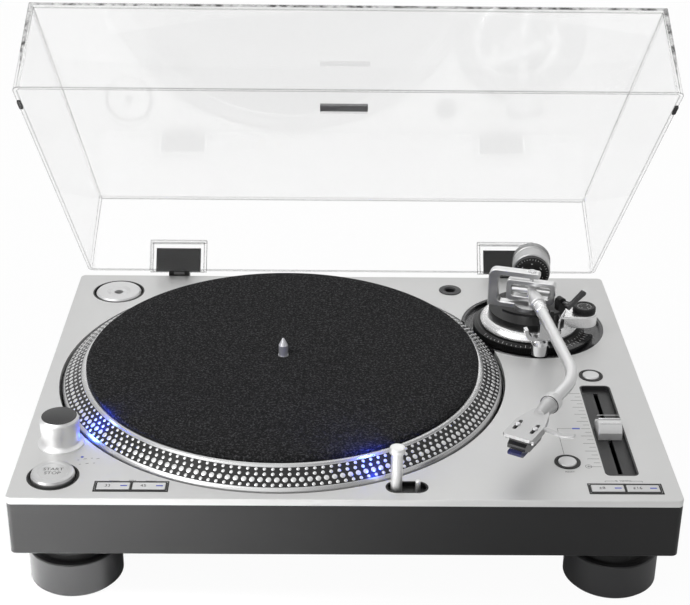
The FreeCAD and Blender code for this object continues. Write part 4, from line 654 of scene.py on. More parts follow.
@dataclass(frozen=True)
class ClearFinish(Coating):
    """The cover's clear acrylic with a painted dark shade on its edges; its sizes are in
    millimetres and its draft in degrees.
    """

    tint: Colour = (0.998, 1.0, 1.0)
    # edge: painted shade, the dark tint of the sheets' edges and ends, in place of the light that
    # the acrylic bends away there
    edge: Colour = (0.012, 0.012, 0.012)
    plain: float = 0.8
    bending: float = 1.49
    haze: float = 0.006
    haze_size: float = 60.0
    tall: float = 65.9
    wide: float = 435.0
    wall: float = 2.8
    inset: float = 0.4
    draft: float = 5.2

    def rim(self, w: Wiring) -> Socket:
        """Adds the mask of the sheets' edges and ends, which get a painted dark shade.

        Args:
            w: The material's wiring.

        Returns:
            The mask.
        """
        lean = math.radians(opening("cover_hinge"))
        up = Vector((0, math.sin(lean), math.cos(lean)))
        ahead = Vector((0, -up.z, up.y))
        hinge = DECK.at(0, *COVER_HINGE)
        level, slope = up.dot(hinge), math.tan(math.radians(self.draft))
        return EFFECTS.place(
            w, Effect.EDGE, ahead=ahead.y, above=ahead.z,
            fore=ahead.dot(hinge) + self.wide / 2 * MM,
            top=level + (COVER_TOP - self.wall) * MM,
            side=((self.wide / 2 - self.wall - self.inset) * MM
                  + slope * (level + (COVER_TOP - self.tall) * MM)),
            draft=slope)["Mask"]

    def wire(self, w: Wiring, shader: bpy.types.bpy_prop_collection) -> None:
        """Wires the acrylic up. It casts no dark shadow and is only partly a lens. Its edges and
        ends carry a painted dark shade.

        Args:
            w: The material's wiring.
            shader: The inputs of its shader.
        """
        rim = self.rim(w)
        # painted shade: the edges and ends are tinted dark, in place of the light that the acrylic
        # bends away there
        w.feed(shader["Base Color"], w.mix(rim, self.tint, self.edge))
        w.feed(shader["Transmission Weight"], 1.0)
        w.feed(shader["IOR"], self.bending)
        cloud = EFFECTS.place(w, Effect.GRAIN, size=self.haze_size)["Cloud"]
        w.feed(shader["Roughness"], w.ranged(cloud, target=(0.0, self.haze)))
        flat = w.math("MULTIPLY", w.math("SUBTRACT", 1.0, rim), self.plain)
        passing = w.math("MAXIMUM", w.rays("Is Shadow Ray", "Is Diffuse Ray"), flat)
        w.feed(shader["Alpha"], w.math("SUBTRACT", 1.0, passing))


@dataclass(frozen=True)
class FloorFinish(Coating):
    """The pale floor, near white where it is seen, which still takes a faint shadow."""

    shade: float = 0.86
    share: float = 0.96

    def wire(self, w: Wiring, shader: bpy.types.bpy_prop_collection) -> None:
        """Wires the floor up.

        Args:
            w: The material's wiring.
            shader: The inputs of its shader.
        """
        nodes = w.tree.nodes
        w.feed(shader["Base Color"], (self.shade,) * 3)
        w.feed(shader["Roughness"], 0.9)
        w.feed(shader["Specular IOR Level"], 0.1)
        both = w.add("ShaderNodeMixShader")
        seen = w.rays("Is Camera Ray", "Is Transmission Ray")
        w.feed(both.inputs[0], w.math("MULTIPLY", seen, self.share))
        w.feed(both.inputs[1], nodes["Principled BSDF"].outputs[0])
        w.feed(both.inputs[2], w.add("ShaderNodeEmission").outputs[0])
        w.feed(nodes["Material Output"].inputs["Surface"], both.outputs[0])


def silver(name: str, shade: float, roughness: float, metal: float, size: float = 2200.0,
           depth: float = 0.1, **more: object) -> Finish:
    """Returns a colourless metal finish.

    Args:
        name: The material's name.
        shade: How bright it is.
        roughness: How rough it is.
        metal: How much of it is metal.
        size: How many grains go to a metre.
        depth: How deep the grain is.
        **more: More fields of the finish.

    Returns:
        The finish.
    """
    return Finish(name, (shade,) * 3, roughness, metal=metal, size=size, depth=depth, **more)


BRUSHED_PLATE = Finish("plate_metal", (0.70, 0.70, 0.695), 0.58, metal=0.82,
                       relief=Relief.BRUSHED, depth=0.10, cloud=0.03, dust=0.02)
HOUSING = Finish("housing_paint", (0.0075, 0.0075, 0.0078), 0.36, relief=Relief.BRUSHED,
                 depth=0.12, cloud=0.10, wear=0.5, worn=(0.10, 0.10, 0.10), dust=0.02,
                 specular=0.36)
BLACK = Finish("black_moulding", (0.006, 0.006, 0.006), 0.38, specular=0.3, size=1500.0,
               depth=0.14, cloud=0.12, wear=0.3, worn=(0.09, 0.09, 0.09), dust=0.02)
DARK = Finish("dark_moulding", (0.020, 0.020, 0.021), 0.42, size=1400.0, depth=0.12,
              cloud=0.08, wear=0.25, worn=(0.14, 0.14, 0.14), dust=0.03)
GLOSS = Finish("black_gloss", (0.009, 0.009, 0.010), 0.16, size=900.0, depth=0.03,
               cloud=0.05, coat=0.4, dust=0.02)
CAST = silver("turned_casting", 0.66, 0.26, 1.0, 1200.0, 0.05, cloud=0.04,
              ring=(-0.046, DECK.at(0, 1.6).y, 0.1519, 0.1645))
SATIN = silver("silver_satin", 0.72, 0.34, 0.6, depth=0.12, cloud=0.05, wear=0.4,
               worn=(0.92, 0.92, 0.92), dust=0.02)
BRIGHT = silver("bright_silver", 0.86, 0.26, 0.85, depth=0.08)
TURNED = silver("turned_silver", 0.86, 0.38, 0.9)
PRESSED = silver("pressed_silver", 0.62, 0.32, 0.9)
YOKE = silver("yoke_silver", 0.74, 0.30, 1.0)
GREY = silver("grey_silver", 0.52, 0.34, 0.7, depth=0.12, wear=0.4, worn=(0.8, 0.8, 0.8),
              dust=0.02)
POLISHED = Finish("polished_metal", (0.70, 0.70, 0.705), 0.16, metal=1.0, size=600.0,
                  depth=0.02, cloud=0.03)
TUBE = silver("tube_satin", 0.76, 0.34, 0.75, 1800.0, 0.05, cloud=0.03)
STEEL = Finish("ground_steel", (0.66, 0.66, 0.67), 0.26, metal=0.65, size=1600.0, depth=0.05,
               cloud=0.05)
FELT = Finish("felt_black", (0.0075, 0.0075, 0.008), 0.96, relief=Relief.FELT, size=1700.0,
              depth=1.0, cloud=0.25, specular=0.15, sheen=0.02)
RUBBER = Finish("rubber_soft", (0.014, 0.014, 0.014), 0.7, size=1300.0, depth=0.25, cloud=0.15,
                dust=0.05)
FOOT = Finish("foot_moulding", (0.022, 0.022, 0.023), 0.34, size=1500.0, depth=0.10,
              cloud=0.08, wear=0.4, worn=(0.16, 0.16, 0.16), dust=0.03)
BRASS = Finish("turned_brass", (0.62, 0.43, 0.14), 0.26, metal=1.0, depth=0.05)
GOLD = Finish("plated_contact", (0.80, 0.58, 0.22), 0.18, metal=1.0, depth=0.03)
MAGNET = silver("sintered_magnet", 0.05, 0.6, 0.6, 1800.0, 0.3)
BOARD = Finish("circuit_board", (0.02, 0.12, 0.05), 0.4, size=600.0, depth=0.15)
BLUE = Finish("blue_moulding", (0.010, 0.014, 0.09), 0.2, size=700.0, depth=0.03, coat=0.3)
LIT_LENS = Finish("lit_lens", (0.02, 0.05, 0.5), 0.25, size=600.0, depth=0.02, glow=160.0)
LIT_LAMP = Finish("lit_lamp", (0.02, 0.05, 0.5), 0.25, size=600.0, depth=0.02, glow=200.0,
                  glow_colour=(0.06, 0.10, 1.0))
LIT_MARK = Finish("lit_mark", (0.02, 0.03, 0.20), 0.35, size=600.0, depth=0.02, glow=0.3,
                  glow_colour=(0.06, 0.12, 0.8))
DOT = silver("strobe_dot", 0.80, 0.24, 0.7, 2500.0, 0.05, cloud=0.10)
GREY_PRINT = Finish("grey_print", (0.09, 0.09, 0.092), 0.55, size=2500.0, depth=0.05)
BLACK_PRINT = Finish("black_print", (0.02, 0.02, 0.02), 0.5, size=2500.0, depth=0.05)
WHITE_PRINT = Finish("white_print", (0.68, 0.68, 0.68), 0.5, size=2500.0, depth=0.05)
LABEL = Finish("plate_bare", (0.12, 0.12, 0.12), 0.45, size=1600.0, depth=0.1, cloud=0.1)
CLEAR = ClearFinish("clear_acrylic")
FLOOR = FloorFinish("pale_floor")


# ---------------------------------------------------------------- small pieces

class Sketch:
    """A small mesh, drawn in millimetres, that is put on a body as one piece."""

    def __init__(self) -> None:
        """Starts with an empty mesh."""
        self.mesh = bmesh.new()

    def place(self, name: str, finish: Coating, body: str, slot: str, angle: float = 32.0
              ) -> bpy.types.Object:
        """Makes the piece and ends the drawing.

        Args:
            name: The object's name.
            finish: What it is finished in.
            body: The body it rides on.
            slot: The record's material slot it belongs to. It is not used.
            angle: Edges sharper than this many degrees stay sharp.

        Returns:
            The new object.
        """
        bmesh.ops.recalc_face_normals(self.mesh, faces=self.mesh.faces)
        data = bpy.data.meshes.new(name)
        self.mesh.to_mesh(data)
        self.mesh.free()
        data.shade_smooth()
        data.set_sharp_from_angle(angle=math.radians(angle))
        data.materials.append(finish.material())
        made = bpy.data.objects.new(name, data)
        bpy.context.scene.collection.objects.link(made)
        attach(made, body)
        log.info("%s on %s", name, body)
        return made

    def bar(self, axes: Axes, wide: float, deep: float, thick: float = PRINT,
            bevel: float = 0.0) -> None:
        """Adds a flat bar that stands on its axes' face.

        Args:
            axes: The middle of its underside, with its directions.
            wide: Its size along the first direction.
            deep: Its size along the second one.
            thick: How far it stands up.
            bevel: How far its edges are cut back.
        """
        verts = bmesh.ops.create_cube(self.mesh, size=1.0)["verts"]
        scale = Matrix.Diagonal((wide * MM, deep * MM, thick * MM, 1))
        lift = Matrix.Translation((0, 0, thick * MM / 2))
        bmesh.ops.transform(self.mesh, matrix=axes.matrix() @ lift @ scale, verts=verts)
        if bevel:
            edges = list({edge for vert in verts for edge in vert.link_edges})
            bmesh.ops.bevel(self.mesh, geom=edges, offset=bevel * MM, segments=2,
                            affect="EDGES", profile=0.6)

    def bars(self, *rows: tuple[float, float, float, float]) -> None:
        """Adds printed bars on the plate, each as its middle, its width and its depth."""
        for x, y, wide, deep in rows:
            self.bar(Axes.flat(DECK.at(x, y)), wide, deep)

    def fan(self, middle: Place, radius: float, rows: Iterable[tuple[float, float]],
            wide: float = LINE, turn: float = 0.0) -> None:
        """Adds printed lines round a level circle.

        Args:
            middle: The circle's middle on the deck.
            radius: How far the middle of each line lies from it.
            rows: The angle and the length of each line.
            wide: How wide the lines are.
            turn: How many degrees each line is turned away from the radius.
        """
        for angle, long in rows:
            self.bar(Axes.flat(DECK.around(middle, radius, angle), angle + turn), long, wide)

    def ring(self, matrix: Matrix, radius: float, height: float, steps: int) -> Ring:
        """Adds the vertices of a circle.

        Args:
            matrix: The circle's axes.
            radius: Its radius. Nought makes one vertex, a tip.
            height: Its height along the axes' third direction.
            steps: How many vertices go round.

        Returns:
            The vertices.
        """
        count = steps if radius > 0 else 1
        turns = (2 * math.pi * k / steps for k in range(count))
        return [self.mesh.verts.new(matrix @ Vector((
            radius * MM * math.cos(a), radius * MM * math.sin(a), height * MM))) for a in turns]

    def skin(self, rings: list[Ring]) -> None:
        """Adds the faces between rings that follow each other.

        Args:
            rings: The rings, of one size but for tips of one vertex.
        """
        for low, high in zip(rings, rings[1:]):
            steps = max(len(low), len(high))
            for k in range(steps):
                n = (k + 1) % steps
                corners = (low[k % len(low)], low[n % len(low)], high[n % len(high)],
                           high[k % len(high)])
                unique = list(dict.fromkeys(corners))
                if len(unique) > 2:
                    self.mesh.faces.new(unique)

    def turned(self, axes: Axes, profile: Iterable[tuple[float, float]], steps: int = 32
               ) -> None:
        """Adds a closed turned form about its axes' third direction.

        Args:
            axes: The form's axes.
            profile: Radius and height pairs, from the bottom to the top.
            steps: How many steps go round.
        """
        matrix = axes.matrix()
        rings = [self.ring(matrix, radius, height, steps) for radius, height in profile]
        self.skin(rings)
        for end in (rings[0], rings[-1]):
            if len(end) > 1:
                self.mesh.faces.new(end)

    def ridges(self, axes: Axes, radius: float, low: float, high: float, count: int,
               proud: float) -> None:
        """Adds a ring of fine ridges round a turned piece, which make its knurl.

        Args:
            axes: The ring's axes.
            radius: The piece's radius.
            low: Where the ridges start along the axis.
            high: Where they end.
            count: How many there are.
            proud: How far they stand out.
        """
        foot_share, crest_share, sunk = 0.62, 0.45, 0.3
        matrix = axes.matrix()
        half = math.pi / count * foot_share
        sides = ((radius - sunk, half, 0.0), (radius + proud, half * crest_share, proud))
        for k in range(count):
            turn = 2 * math.pi * k / count
            verts = []
            for reach, spread, inset in sides:
                for a in (turn - spread, turn + spread):
                    for z in (low + inset, high - inset):
                        verts.append(self.mesh.verts.new(matrix @ Vector((
                            reach * MM * math.cos(a), reach * MM * math.sin(a), z * MM))))
            a0, a1, b0, b1, c0, c1, d0, d1 = verts
            for face in ((a0, a1, b1, b0), (c0, d0, d1, c1), (a0, c0, c1, a1),
                         (b0, b1, d1, d0), (a0, b0, d0, c0), (a1, c1, d1, b1)):
                self.mesh.faces.new(face)

    def screw(self, axes: Axes, radius: float, tall: float, slot: float = 0.0) -> None:
        """Adds a screw head.

        Args:
            axes: The middle of its seat, with its directions.
            radius: Its radius.
            tall: How high it stands.
            slot: How wide its slot is. Nought gives it a cross.
        """
        self.turned(axes, [(radius, 0), (radius, tall * 0.45), (radius * 0.86, tall * 0.85),
                           (radius * 0.62, tall), (0, tall)], 24)
        cross = ((radius * 0.95, radius * 0.24), (radius * 0.24, radius * 0.95))
        for wide, deep in ((radius * 1.5, slot),) if slot else cross:
            self.bar(axes.moved(z=tall), wide, deep, 0.02)


def write(name: str, text: str, size: float, axes: Axes, finish: Finish, body: str, slot: str,
          thick: float = PRINT) -> bpy.types.Object:
    """Makes printed figures as thin relief.

    Args:
        name: The object's name.
        text: What it says.
        size: The letters' height in millimetres.
        axes: The middle of the word, with the directions it reads in.
        finish: The print's finish.
        body: The body it rides on.
        slot: The record's material slot.
        thick: How far the print stands up, in millimetres.

    Returns:
        The printed object.
    """
    full_height = 1.38
    curve = bpy.data.curves.new(name + "_line", "FONT")
    curve.body = text
    curve.align_x = curve.align_y = "CENTER"
    curve.size = size * MM * full_height
    curve.extrude = thick * MM / 2
    curve.resolution_u = 3
    writer = bpy.data.objects.new(name + "_line", curve)
    bpy.context.scene.collection.objects.link(writer)
    bpy.context.view_layer.update()
    data = bpy.data.meshes.new_from_object(writer)
    bpy.data.objects.remove(writer)
    sketch = Sketch()
    sketch.mesh.from_mesh(data)
    bpy.data.meshes.remove(data)
    lift = Matrix.Translation((0, 0, thick * MM / 2))
    bmesh.ops.transform(sketch.mesh, matrix=axes.matrix() @ lift, verts=sketch.mesh.verts)
    return sketch.place(name, finish, body, slot)


class Dressing:
    """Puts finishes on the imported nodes."""

    NODES = {
        BRUSHED_PLATE: ("top_plate",),
        HOUSING: ("base_housing",),
        BLACK: ("platter_well", "terminal_panel", "hinge_blocks", "hinge_leaves", "height_ring",
                "gimbal_drum", "lever_bearing", "lift_bar", "arm_lock", "weight_dial",
                "anti_skate_knob", "control_cups", "round_bezels"),
        DARK: ("slider_bed", "headshell_socket"),
        GLOSS: ("arm_dish", "cue_lever", "cartridge"),
        CAST: ("platter",),
        BRIGHT: ("arm_platform",),
        TURNED: ("strobe_tower", "power_knob", "target_lamp", "lamp_release_pin"),
        YOKE: ("gimbal_yoke", "gimbal_frame"),
        PRESSED: ("start_button", "speed_button_33", "speed_button_45", "pitch_button_low",
                  "pitch_button_high"),
        SATIN: ("locking_collar", "round_button_front", "round_button_rear", "pitch_slider",
                "adaptor_45"),
        GREY: ("counterweight", "headshell"),
        TUBE: ("arm_pivot", "arm_tube"),
        POLISHED: ("arm_rest", "lever_stay"),
        STEEL: ("spindle",),
        RUBBER: ("foot_isolators", "cover_bumpers"),
        FOOT: ("foot_cup_front_left", "foot_cup_front_right", "foot_cup_rear_left",
               "foot_cup_rear_right"),
        BRASS: ("bearing_sleeve",),
        GOLD: ("signal_jacks",),
        MAGNET: ("motor_stator", "rotor_magnet"),
        BOARD: ("electronics",),
        BLUE: ("stylus",),
        LIT_LENS: ("strobe_lens",),
        CLEAR: ("dust_cover",),
        FELT: ("slipmat",),
    }

    def build(self) -> None:
        """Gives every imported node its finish, and checks that none is left out."""
        done = set()
        for finish, names in self.NODES.items():
            for name in names:
                for entry in frame["nodes"][name].material_slots:
                    entry.link = "OBJECT"
                    entry.material = finish.material()
                done.add(name)
        left = sorted(set(frame["nodes"]) - done)
        if left:
            raise ValueError(f"no finish for {left}")
        log.info("%d nodes dressed", len(done))


# ---------------------------------------------------------------- sub-assemblies

@dataclass
class Platter:
    """The platter's felt mat and its four rows of strobe dots."""

    middle: tuple[float, float] = (-46.0, 1.6)
    cone_low: tuple[float, float] = (164.9, 1.6)
    cone_high: tuple[float, float] = (151.6, 10.0)
    rows: tuple[tuple[float, int, float], ...] = (
        (0.135, 186, 1.25), (0.385, 180, 1.85), (0.645, 174, 1.25), (0.885, 170, 1.15))
    dot: tuple[tuple[float, float], ...] = ((1, -0.05), (1, 0.16), (0.72, 0.34), (0, 0.38))
    dot_steps: int = 10
    mat_radius: float = 148.2
    mat_hole: float = 4.1
    mat_thick: float = 3.3
    mat_seat: float = 11.7
    mat_waves: tuple[int, ...] = (2, 3, 5)

    def build(self) -> None:
        """Makes the dots and the mat."""
        self.dots()
        self.mat()

    def dots(self) -> None:
        """Makes the raised bright dots on the cone."""
        dots = Sketch()
        (r0, z0), (r1, z1) = self.cone_low, self.cone_high
        slope = math.hypot(r1 - r0, z1 - z0)
        climb = Vector(((r1 - r0) / slope, 0, (z1 - z0) / slope))
        for share, count, radius in self.rows:
            r, z = r0 + (r1 - r0) * share, z0 + (z1 - z0) * share
            for k in range(count):
                turn = Matrix.Rotation(2 * math.pi * k / count, 4, "Z")
                place = DECK.at(*self.middle) + turn @ Vector((r * MM, 0, z * MM))
                dots.turned(Axes(place, turn @ BACK, turn @ climb),
                            [(radius * part, height) for part, height in self.dot],
                            self.dot_steps)
        dots.place("strobe_dots", DOT, "platter", "cast_silver", 50)

    def outline(self) -> list[tuple[float, float]]:
        """Works out the mat's section.

        Returns:
            Radius and height pairs, from the hole's foot over the top and round the rim.
        """
        hole, rim, top, steps = self.mat_hole, self.mat_radius, self.mat_thick, 14
        flat = [(hole + (rim - 1.2 - hole) * (k / steps) ** 0.9, top)
                for k in range(1, steps + 1)]
        return [(hole, 0.0), (hole + 0.3, top - 0.35), (hole + 0.9, top), *flat,
                (rim - 0.45, top - 0.35), (rim, top - 1.0), (rim, 0.7), (rim - 0.5, 0.0)]

    def mat(self) -> None:
        """Makes the loose felt mat: a disc with soft edges, lying a little uneven."""
        steps, calm, swell, share = 160, 20, 80, 0.9
        chance = random.Random(4)
        waves = [(n, chance.uniform(0, 6.28), chance.uniform(0.02, 0.05))
                 for n in self.mat_waves]
        centre = DECK.at(*self.middle, self.mat_seat)
        sheet, rings = Sketch(), []
        for r, z in self.outline():
            ease = min(max((r - calm) / swell, 0), 1) if z > self.mat_thick - 0.5 else 0
            row = []
            for a in (2 * math.pi * k / steps for k in range(steps)):
                rise = ease * sum(h * math.sin(n * a + p) for n, p, h in waves) * share
                row.append(sheet.mesh.verts.new(centre + Vector((
                    r * MM * math.cos(a), r * MM * math.sin(a), (z + rise) * MM))))
            rings.append(row)
        sheet.skin(rings + rings[:1])
        made = sheet.place("felt_mat", FELT, "platter", "felt", 60)
        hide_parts("slipmat")


@dataclass
class PlatePrint:
    """The printed scale beside the pitch slider, and the small prints round it."""

    edge: float = 176.2
    zero: float = -80.7
    step: float = 5.1
    steps: int = 10
    tick: float = 0.35
    longs: tuple[float, float, float] = (8.2, 4.4, 6.4)
    zero_line: tuple[float, float] = (157.6, 10.4)
    zero_light: tuple[float, ...] = (5.6, 1.7, 0.05, 0.02)
    zero_light_side: float = 166.0
    branch: tuple[float, float] = (152.6, -116.0)
    reset: Place = (167.4, -131.4, 0.0)
    reset_cross: float = 2.0
    reset_radius: float = 2.1
    reset_steps: int = 28
    bed_light: Place = (182.4, -66.0, -3.3)
    bed_dome: tuple[tuple[float, float], ...] = ((0.9, 0), (0.9, 0.35), (0.5, 0.6), (0, 0.66))
    rest: tuple[tuple[float, float, float, float], ...] = (
        (164.0, -29.6, 2.0, 0.35),
        (175.7, -150.4, LINE, 1.6), (200.8, -150.4, LINE, 1.6),
        (179.6, -149.7, 7.6, LINE), (196.8, -149.7, 7.6, LINE),
        (-155.4, -152.4, 7.0, LINE), (-131.0, -152.4, 7.0, LINE))
    words: tuple[tuple[str, str, float, float, float], ...] = (
        ("pitch_heading", "% TEMPO", 1.9, 188.2, -149.7),
        ("speed_heading", "RPM", 1.9, -143.3, -152.4),
        ("reset_word", "RESET", 1.8, 153.6, -138.4))

    def build(self) -> None:
        """Makes the ticks, the zero line with its light, and the words."""
        lines = Sketch()
        even, odd, middle = self.longs
        for k in range(-self.steps, self.steps + 1):
            long = (odd if k % 2 else even) if k else middle
            lines.bars((self.edge - long / 2, self.zero + k * self.step, long, self.tick))
        side, wide = self.zero_line
        branch, corner = self.branch
        x, y, _ = self.reset
        lines.bars((side, self.zero, wide, LINE),
                   (branch, (self.zero + corner) / 2, LINE, self.zero - corner),
                   (x, y, self.reset_cross, self.tick), (x, y, self.tick, self.reset_cross))
        part = 360 / self.reset_steps
        chord = math.radians(part) * self.reset_radius * 1.1
        lines.fan(self.reset, self.reset_radius,
                  [((k + 0.5) * part, chord) for k in range(self.reset_steps)], turn=90)
        lines.bars(*self.rest)
        lines.place("scale_print", GREY_PRINT, "plinth", "brushed_plate")
        mark = Sketch()
        mark.bar(Axes.flat(DECK.at(self.zero_light_side, self.zero)), *self.zero_light)
        mark.place("zero_light", LIT_MARK, "plinth", "blue_plastic")
        light = Sketch()
        light.turned(Axes.flat(DECK.at(*self.bed_light)), self.bed_dome, 16)
        light.place("bed_light", WHITE_PRINT, "plinth", "dark_plastic")
        for name, text, size, x, y in self.words:
            write(name, text, size, Axes.flat(DECK.at(x, y)), GREY_PRINT, "plinth",
                  "brushed_plate")


@dataclass
class Keys:
    """The marks on the keys and the start button, the keys' rims and the slider's ridges."""

    level: float = 0.5
    front: float = -159.1
    keys: tuple[tuple[str, float, str], ...] = (
        ("33", -154.9, "speed_button_33"), ("45", -131.0, "speed_button_45"),
        ("±8", 176.4, "pitch_button_low"), ("±16", 200.2, "pitch_button_high"))
    figure: float = 3.0
    figure_side: float = -4.2
    light: tuple[float, ...] = (4.6, 1.2, 0.06, 0.02)
    light_side: float = 6.6
    pairs: tuple[float, float] = (-143.4, 188.0)
    rim: tuple[tuple[float, float, float, float], ...] = (
        (0, 5.65, 50.2, 0.7), (0, -6.0, 50.2, 1.5), (-24.65, -0.4, 0.9, 12.6),
        (24.65, -0.4, 0.9, 12.6))
    rim_thick: float = 0.25
    rim_bevel: float = 0.08
    word: float = 3.4
    button: Place = (-197.5, -146.4, 3.5)
    words: tuple[tuple[str, float], ...] = (("START", 2.4), ("STOP", -2.4))
    slider: Place = (188.9, -82.45, 9.0)
    ridge_wide: float = 15.4
    ridge_bevel: float = 0.05
    ridges: tuple[tuple[float, float, float], ...] = (
        (5.6, 0.5, 0.12), (-5.6, 0.5, 0.12), (0.0, 1.5, 0.5))

    def build(self) -> None:
        """Makes the figures, the light bars, the rims, the words and the ridges."""
        for text, x, body in self.keys:
            middle = Axes.flat(DECK.at(x, self.front, self.level))
            write(f"figures_{body}", text, self.figure, middle.moved(self.figure_side),
                  BLACK_PRINT, body, "satin_silver")
            light = Sketch()
            light.bar(middle.moved(self.light_side), *self.light)
            light.place(f"bar_{body}", LIT_MARK, body, "blue_plastic")
        rims = Sketch()
        for x in self.pairs:
            for right, back, wide, deep in self.rim:
                rims.bar(Axes.flat(DECK.at(x + right, self.front + back)), wide, deep,
                         self.rim_thick, self.rim_bevel)
        rims.place("key_rims", BLACK, "plinth", "black_plastic")
        x, y, z = self.button
        for text, back in self.words:
            write(f"word_{text.lower()}", text, self.word, Axes.flat(DECK.at(x, y + back, z)),
                  BLACK_PRINT, "start_button", "satin_silver")
        x, y, z = self.slider
        ridge = Sketch()
        for back, deep, thick in self.ridges:
            ridge.bar(Axes.flat(DECK.at(x, y + back, z)), self.ridge_wide, deep, thick,
                      self.ridge_bevel)
        ridge.place("slider_ridge", POLISHED, "pitch_slider", "satin_silver")


@dataclass
class PowerKnob:
    """The power knob's dark face with its arc of marks, its skirt, and the print beside it."""

    axis: tuple[float, float] = (-198.8, -103.6)
    radius: float = 12.2
    level: float = 21.5
    steps: int = 96
    mark_radius: float = 10.6
    mark_level: float = 21.82
    mark_arc: range = range(-118, 90, 8)
    mark_size: tuple[float, float] = (1.0, 0.4)
    skirt: tuple[tuple[float, float], ...] = (
        (13.5, 9.3), (13.62, 9.45), (13.62, 18.9), (13.42, 19.2))
    icons: tuple[tuple[float, float], ...] = (
        (-183.4, -126.6), (-179.0, -125.0), (-174.4, -124.2), (-170.2, -124.6),
        (-181.6, -132.0), (-176.8, -131.0), (-172.0, -130.4))
    icon_longs: tuple[float, float] = (1.3, 2.2)
    icon_wide: float = 0.45
    icon_turn: float = 14.0
    spot: tuple[float, float] = (-181.3, -122.6)
    spot_dome: tuple[tuple[float, float], ...] = ((1.1, 0), (1.1, 0.04), (0.8, 0.08), (0, 0.1))

    def build(self) -> None:
        """Makes the face, its marks, the skirt and the legend."""
        face = Sketch()
        face.turned(Axes.flat(DECK.at(*self.axis, self.level)), [
            (self.radius - 0.5, -0.05), (self.radius, 0.05), (self.radius, 0.2),
            (self.radius - 0.2, 0.3), (0, 0.3)], self.steps)
        face.place("power_knob_face", DARK, "power_knob", "dark_plastic")
        marks = Sketch()
        long, wide = self.mark_size
        marks.fan((*self.axis, self.mark_level), self.mark_radius,
                  [(angle, long) for angle in self.mark_arc], wide)
        marks.place("power_knob_marks", GREY_PRINT, "power_knob", "dark_plastic")
        skirt = Sketch()
        matrix = Axes.flat(DECK.at(*self.axis)).matrix()
        for band in zip(self.skirt, self.skirt[1:]):
            skirt.skin([skirt.ring(matrix, *row, self.steps) for row in band])
        skirt.place("power_knob_skirt", TURNED, "power_knob", "satin_silver")
        legend = Sketch()
        for k, (x, y) in enumerate(self.icons):
            legend.bar(Axes.flat(DECK.at(x, y), self.icon_turn), self.icon_longs[k % 2],
                       self.icon_wide)
        legend.place("speed_legend", GREY_PRINT, "plinth", "brushed_plate")
        spot = Sketch()
        spot.turned(Axes.flat(DECK.at(*self.spot)), self.spot_dome, 20)
        spot.place("legend_spot", LIT_MARK, "plinth", "blue_plastic")


